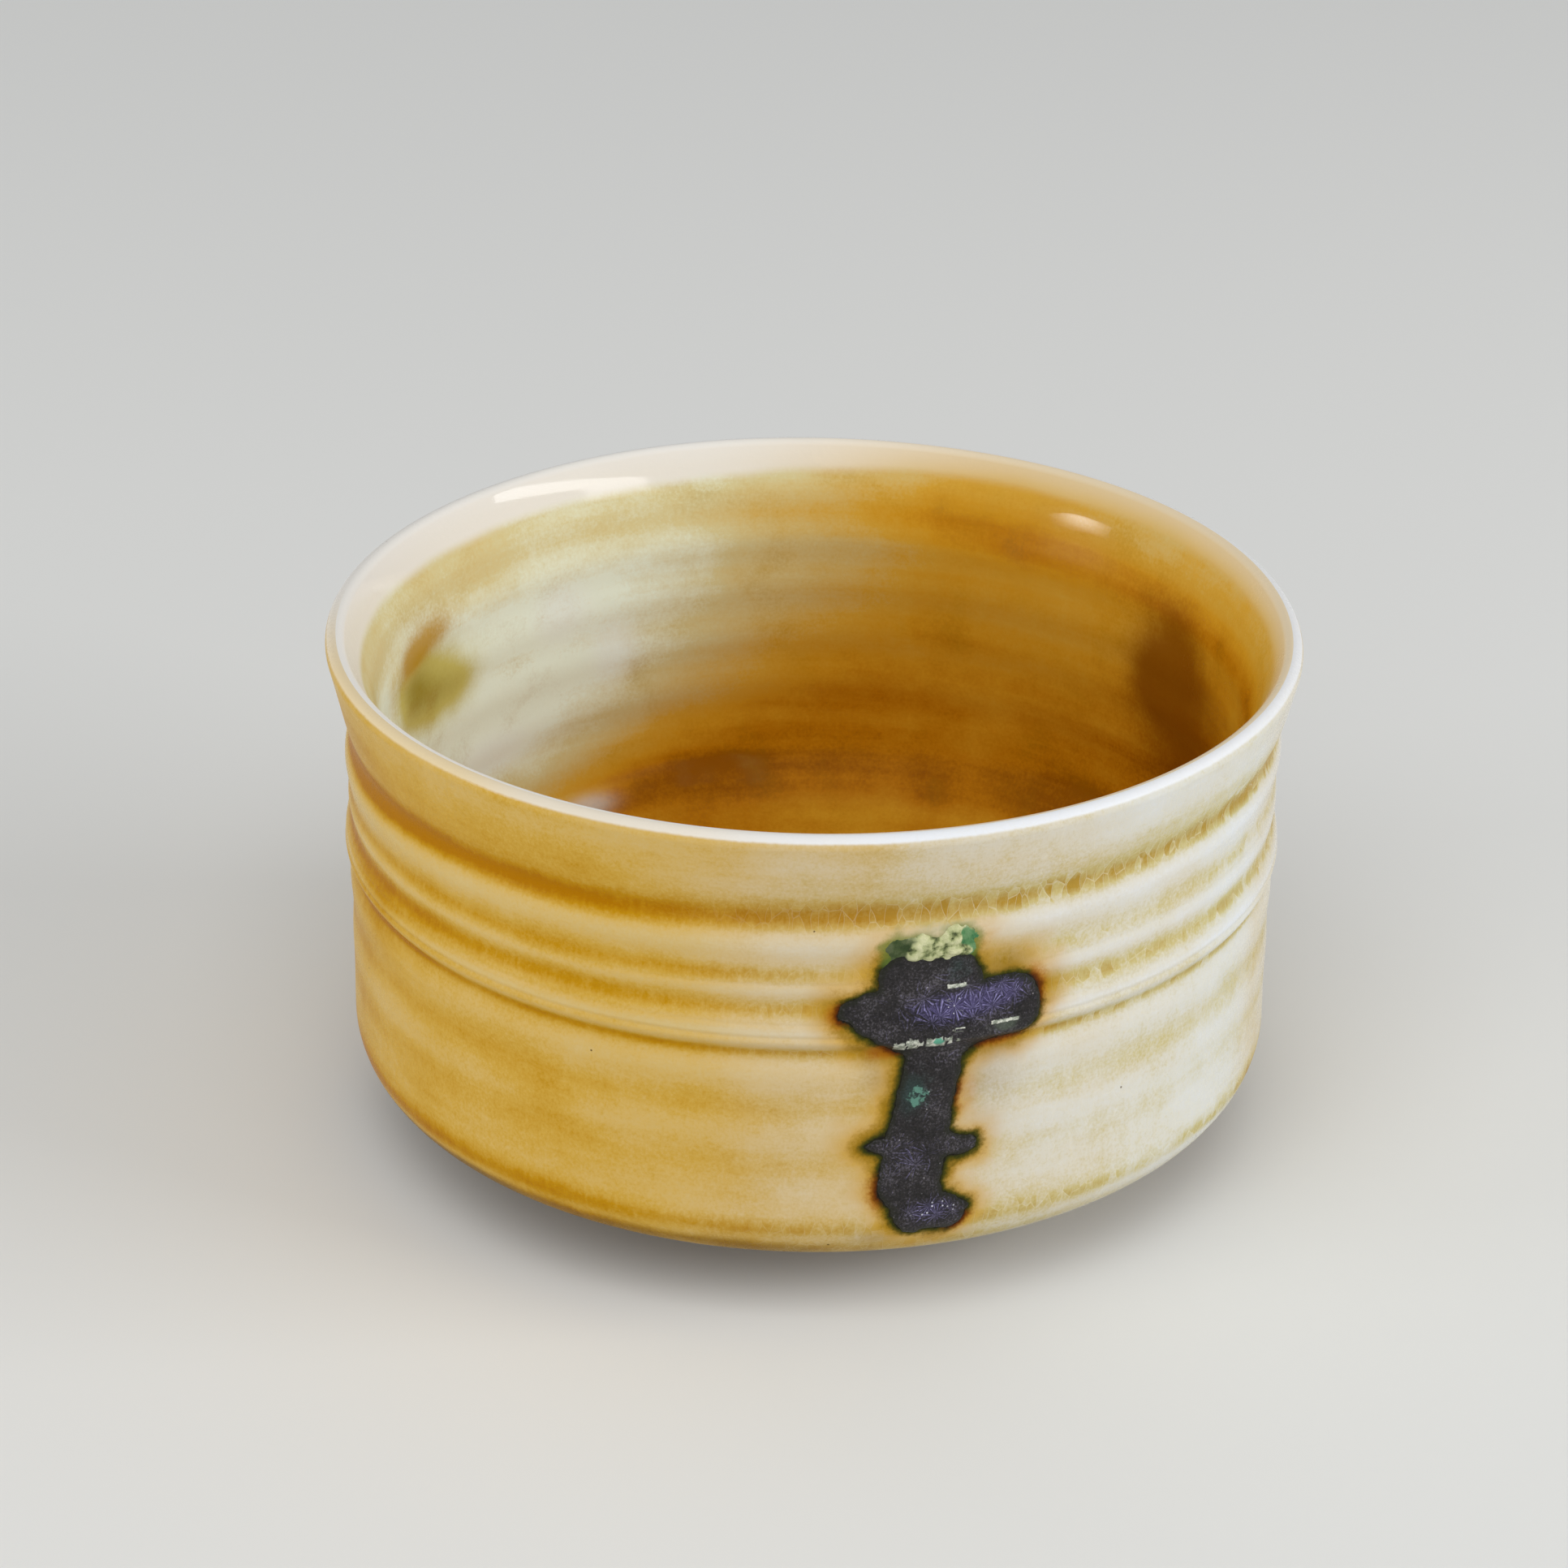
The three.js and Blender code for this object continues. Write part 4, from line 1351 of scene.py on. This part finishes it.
def dark_glaze():
    finish, tree, shader = new_finish("dark_iron_glaze", specular=0.25)
    mottle = place_group(tree, MOTTLE, cloud_size=4, streak_size=9, grain_size=0.28)
    fine = place_group(tree, MOTTLE, cloud_size=1.1, streak_size=3, grain_size=0.6)
    iron = weighted(tree, 0.42, (mottle["Cloud"], 0.9), (mottle["Grain"], 1.6), (fine["Cloud"], 0.5))
    colour = colours(tree, iron, *DARK_IRON)
    needles = needle_fans(tree, NEEDLE_FAN_SIZE)
    sheen = brushed(tree, "crystal", (mottle["Cloud"], 0.7), (needles, 0.9), (mottle["Grain"], 0.6))
    violet = weighted(tree, 0.45, (needles, 2.2), (mottle["Grain"], 0.8))
    violet = colours(tree, violet, *VIOLET_NEEDLES)
    colour = stain(tree, colour, ease(tree, sheen, 0.15, 1.0), 0.9, violet)
    teal = brushed(tree, "teal", (fine["Cloud"], 0.9), (mottle["Grain"], 0.5))
    colour = stain(tree, colour, ease(tree, teal, 0.2, 1.0), 0.7, FLECK_TEAL)
    dull = brushed(tree, "dull", (fine["Cloud"], 1.0), (mottle["Grain"], 0.5))
    colour = stain(tree, colour, ease(tree, dull, 0.3, 1.0), 0.6, PATCH_GREY)
    green = brushed(
        tree, "turquoise", (fine["Cloud"], 2.2), (fine["Fringe"], 0.8), (mottle["Grain"], 0.7))
    colour = stain(tree, colour, ease(tree, green, 0.72, 1.0), 0.85, FLECK_TURQUOISE)
    offset = brushed(tree, "line_offset", (fine["Cloud"], 1.1), (mottle["Grain"], 1.0))
    thin = ease(tree, calc(tree, "ABSOLUTE", offset), 1.15, 0.7)
    kept = brushed(tree, "line", (fine["Cloud"], 1.2), (mottle["Grain"], 0.7))
    line_mask = times(tree, thin, ease(tree, kept, 0.3, 0.65))
    line_grey = mix(tree, ease(tree, fine["Grain"], -0.1, 0.12), LINE_GREY, LINE_WHITE)
    line = mix(tree, ease(tree, green, 0.5, 0.9), line_grey, LINE_TURQUOISE)
    colour = stain(tree, colour, line_mask, 0.92, line)
    sparkle = place_group(tree, SPECKS, spacing=0.62, size=0.24, share=0.3)
    glint_zone = brushed(tree, "glint", (fine["Cloud"], 1.0))
    glints = times(tree, sparkle["Speck"], ease(tree, glint_zone, 0.15, 0.85))
    colour = stain(tree, colour, glints, 0.9, GLINT_WHITE)
    stray = place_group(tree, SPECKS, spacing=1.7, size=0.07, share=0.4)
    colour = stain(tree, colour, stray["Speck"], 0.6, SPECK_GREY)
    rim = brushed(tree, "depth", (mottle["Cloud"], 0.8), (mottle["Grain"], 0.5))
    colour = stain(tree, colour, ease(tree, rim, 0.9, 0.1), 0.7, RUN_EDGE)
    rough = weighted(tree, 0.45, (mottle["Cloud"], 0.25), (needles, 0.3))
    height = weighted(tree, 0.0, (mottle["Grain"], 0.6), (needles, 0.3), (glints, 0.5), (line_mask, 0.5))
    join_finish(tree, shader, colour, rough, height, 0.1)
    return finish


# Crust: colours from its hollows to the tops of its lumps, and those of its glassy ends
CRUST_HEIGHTS = (
    (0.2, srgb(46, 56, 30)), (0.42, srgb(126, 134, 88)), (0.62, srgb(176, 180, 132)),
    (0.95, srgb(200, 200, 158)),
)
GLASS_LEFT = srgb(48, 66, 32)
GLASS_RIGHT = srgb(62, 122, 76)


def ash_crust():
    finish, tree, shader = new_finish("ash_crust", specular=0.3)
    mottle = place_group(tree, MOTTLE, cloud_size=2.4, streak_size=6, grain_size=0.35)
    lump = brushed(tree, "lump", (mottle["Cloud"], 0.5), (mottle["Grain"], 0.6))
    colour = colours(tree, lump, *CRUST_HEIGHTS)
    for name, share, glass in (("left_glass", 0.9, GLASS_LEFT), ("right_glass", 0.85, GLASS_RIGHT)):
        melted = brushed(tree, name, (mottle["Cloud"], 1.2), (mottle["Grain"], 0.6))
        colour = stain(tree, colour, ease(tree, melted, 0.2, 0.9), share, glass)
    rough = weighted(tree, 0.62, (mottle["Cloud"], 0.3))
    height = weighted(tree, 0.0, (mottle["Cloud"], 0.8), (mottle["Grain"], 0.8))
    join_finish(tree, shader, colour, rough, height, 0.2)
    return finish


# Bare clay: pale, base, toasted and dark colour of the body and of the foot, then grit and iron specks; the
# body's colours are partly painted shade, darker than the clay as where its edge nears the floor
BODY_CLAY_AND_SHADE = (srgb(190, 176, 140), srgb(124, 95, 42), srgb(124, 84, 36), srgb(94, 68, 26))
FOOT_CLAY = (srgb(206, 190, 158), srgb(184, 156, 112), srgb(146, 106, 72), srgb(148, 116, 76))
GRIT_PALE = srgb(216, 204, 180)
IRON_SPECK = srgb(92, 58, 36)


def bare_clay(name, pale, base, toast, dark):
    finish, tree, shader = new_finish(name, specular=0.25)
    mottle = place_group(tree, MOTTLE, cloud_size=9, streak_size=14, grain_size=0.4)
    value = weighted(tree, 0.5, (mottle["Cloud"], 0.7), (mottle["Streak"], 0.4), (mottle["Grain"], 0.6))
    colour = colours(tree, value, (0.1, dark), (0.5, base), (0.95, pale))
    # Partly painted light: the clay is paled on the lit right side, by the tone around the bowl
    light = brushed(tree, "tone", (mottle["Cloud"], 0.6), (mottle["Grain"], 0.3))
    colour = stain(tree, colour, ease(tree, light, 0.45, 0.05), 0.7, pale)
    flush = brushed(tree, "toast", (mottle["Cloud"], 1.6), (mottle["Grain"], 0.3))
    colour = stain(tree, colour, ease(tree, flush, 0.5, 1.2), 0.6, toast)
    grit = place_group(tree, SPECKS, spacing=1.6, size=0.14, share=0.35)
    iron = place_group(tree, SPECKS, spacing=3.4, size=0.06, share=0.4)
    colour = stain(tree, colour, grit["Speck"], 0.35, GRIT_PALE)
    colour = stain(tree, colour, iron["Speck"], 0.85, IRON_SPECK)
    rough = weighted(tree, 0.85, (mottle["Grain"], 0.2))
    height = weighted(tree, 0.0, (mottle["Grain"], 1.0), (mottle["Streak"], 0.6), (grit["Speck"], 0.8))
    join_finish(tree, shader, colour, rough, height, 0.15)
    return finish


def dress(piece, node_name, finish):
    piece.data.materials.clear()
    piece.data.materials.append(finish)
    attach(piece, "root")
    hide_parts(node_name)


dress(make_outer_coat(), "outer_glaze", amber_glaze())
dress(make_inner_lining(), "inner_glaze", lining_glaze())
dress(make_dark_run(), "dark_run", dark_glaze())
dress(make_ash_crust(), "ash_crust", ash_crust())
dress(make_clay_body(), "clay_body", bare_clay("bare_buff_clay_and_shade", *BODY_CLAY_AND_SHADE))
dress(make_foot_ring(), "foot_ring", bare_clay("foot_buff_clay", *FOOT_CLAY))


# Stage, light and camera

FLOOR_SIZE = 8
FLOOR_COLOUR = srgb(226, 226, 223)
FLOOR_ROUGHNESS = 0.9
WORLD_COLOUR = (0.95, 0.97, 1, 1)
WORLD_STRENGTH = 0.36


def make_floor():
    bpy.ops.object.select_all(action="DESELECT")
    bpy.ops.mesh.primitive_plane_add(size=FLOOR_SIZE, location=(0, 0, 0))
    floor = bpy.context.object
    floor.name = "floor"
    finish, _, shader = new_finish("pale_floor", specular=0.2)
    shader.inputs["Base Color"].default_value = FLOOR_COLOUR
    shader.inputs["Roughness"].default_value = FLOOR_ROUGHNESS
    floor.data.materials.append(finish)


make_floor()
scene = bpy.context.scene
scene.view_settings.view_transform = "Standard"

# Lamps: name, direction from the origin, distance and size in metres, power in watts, and whether the glaze
# mirrors it
LAMPS = (
    ("window_right", (0.93, -0.22, 0.38), 1.3, (0.8, 0.5), 7.7, False),
    ("pane_right", (0.8, -0.38, 0.46), 1.29, (1.15, 0.09), 1.6, True),
    ("window_left", (-0.95, -0.3, 0.18), 1.4, (0.8, 0.5), 2, False),
    ("pane_left", (-0.95, -0.3, 0.18), 1.39, (0.4, 0.3), 3.4, True),
    ("back_left", (-0.6, 0.75, 0.3), 1.5, (0.8, 0.5), 1.8, False),
    ("overhead", (-0.1, -0.55, 0.83), 1.5, (1.2, 1.2), 8.8, False),
    ("front_fill", (-0.35, -0.9, 0.28), 1.8, (1.6, 1.0), 4.2, False),
)


def make_world():
    world = bpy.data.worlds.new("studio")
    scene.world = world
    world.use_nodes = True
    background = world.node_tree.nodes["Background"]
    background.inputs["Color"].default_value = WORLD_COLOUR
    background.inputs["Strength"].default_value = WORLD_STRENGTH


def softbox(name, direction, distance, size, power, reflected):
    data = bpy.data.lights.new(name, "AREA")
    data.shape = "RECTANGLE"
    data.size, data.size_y = size
    data.energy = power
    lamp = bpy.data.objects.new(name, data)
    lamp.visible_glossy = reflected
    place = Vector(direction).normalized() * distance
    lamp.location = place
    lamp.rotation_euler = (-place).to_track_quat("-Z", "Y").to_euler()
    scene.collection.objects.link(lamp)


make_world()
for lamp in LAMPS:
    softbox(*lamp)

# Camera fitted to the outline: place in rim radii from the rim's centre, angles in degrees
CAMERA_BACK = 9.0998
CAMERA_UP = 4.1234
CAMERA_PITCH = 26.326
CAMERA_YAW = -0.365
CAMERA_ROLL = 0.685
CAMERA_FOCAL_PIXELS = 6008
FRAME_PIXELS = 1932
SENSOR_WIDTH = 36


def make_camera():
    data = bpy.data.cameras.new("camera")
    data.sensor_width = SENSOR_WIDTH
    data.lens = CAMERA_FOCAL_PIXELS / FRAME_PIXELS * SENSOR_WIDTH
    camera = bpy.data.objects.new("camera", data)
    pitch, yaw, roll = map(math.radians, (CAMERA_PITCH, CAMERA_YAW, CAMERA_ROLL))
    forward = Vector((math.sin(yaw) * math.cos(pitch), math.cos(yaw) * math.cos(pitch), -math.sin(pitch)))
    level = forward.cross(Vector((0, 0, 1))).normalized()
    upright = level.cross(forward)
    right = level * math.cos(roll) + upright * math.sin(roll)
    up = upright * math.cos(roll) - level * math.sin(roll)
    turn = Matrix((right, up, -forward)).transposed()
    place = Vector((0, -CAMERA_BACK * RIM_RADIUS, RIM_HEIGHT + CAMERA_UP * RIM_RADIUS)) * MM
    camera.matrix_world = Matrix.Translation(place) @ turn.to_4x4()
    scene.collection.objects.link(camera)
    scene.camera = camera


make_camera()
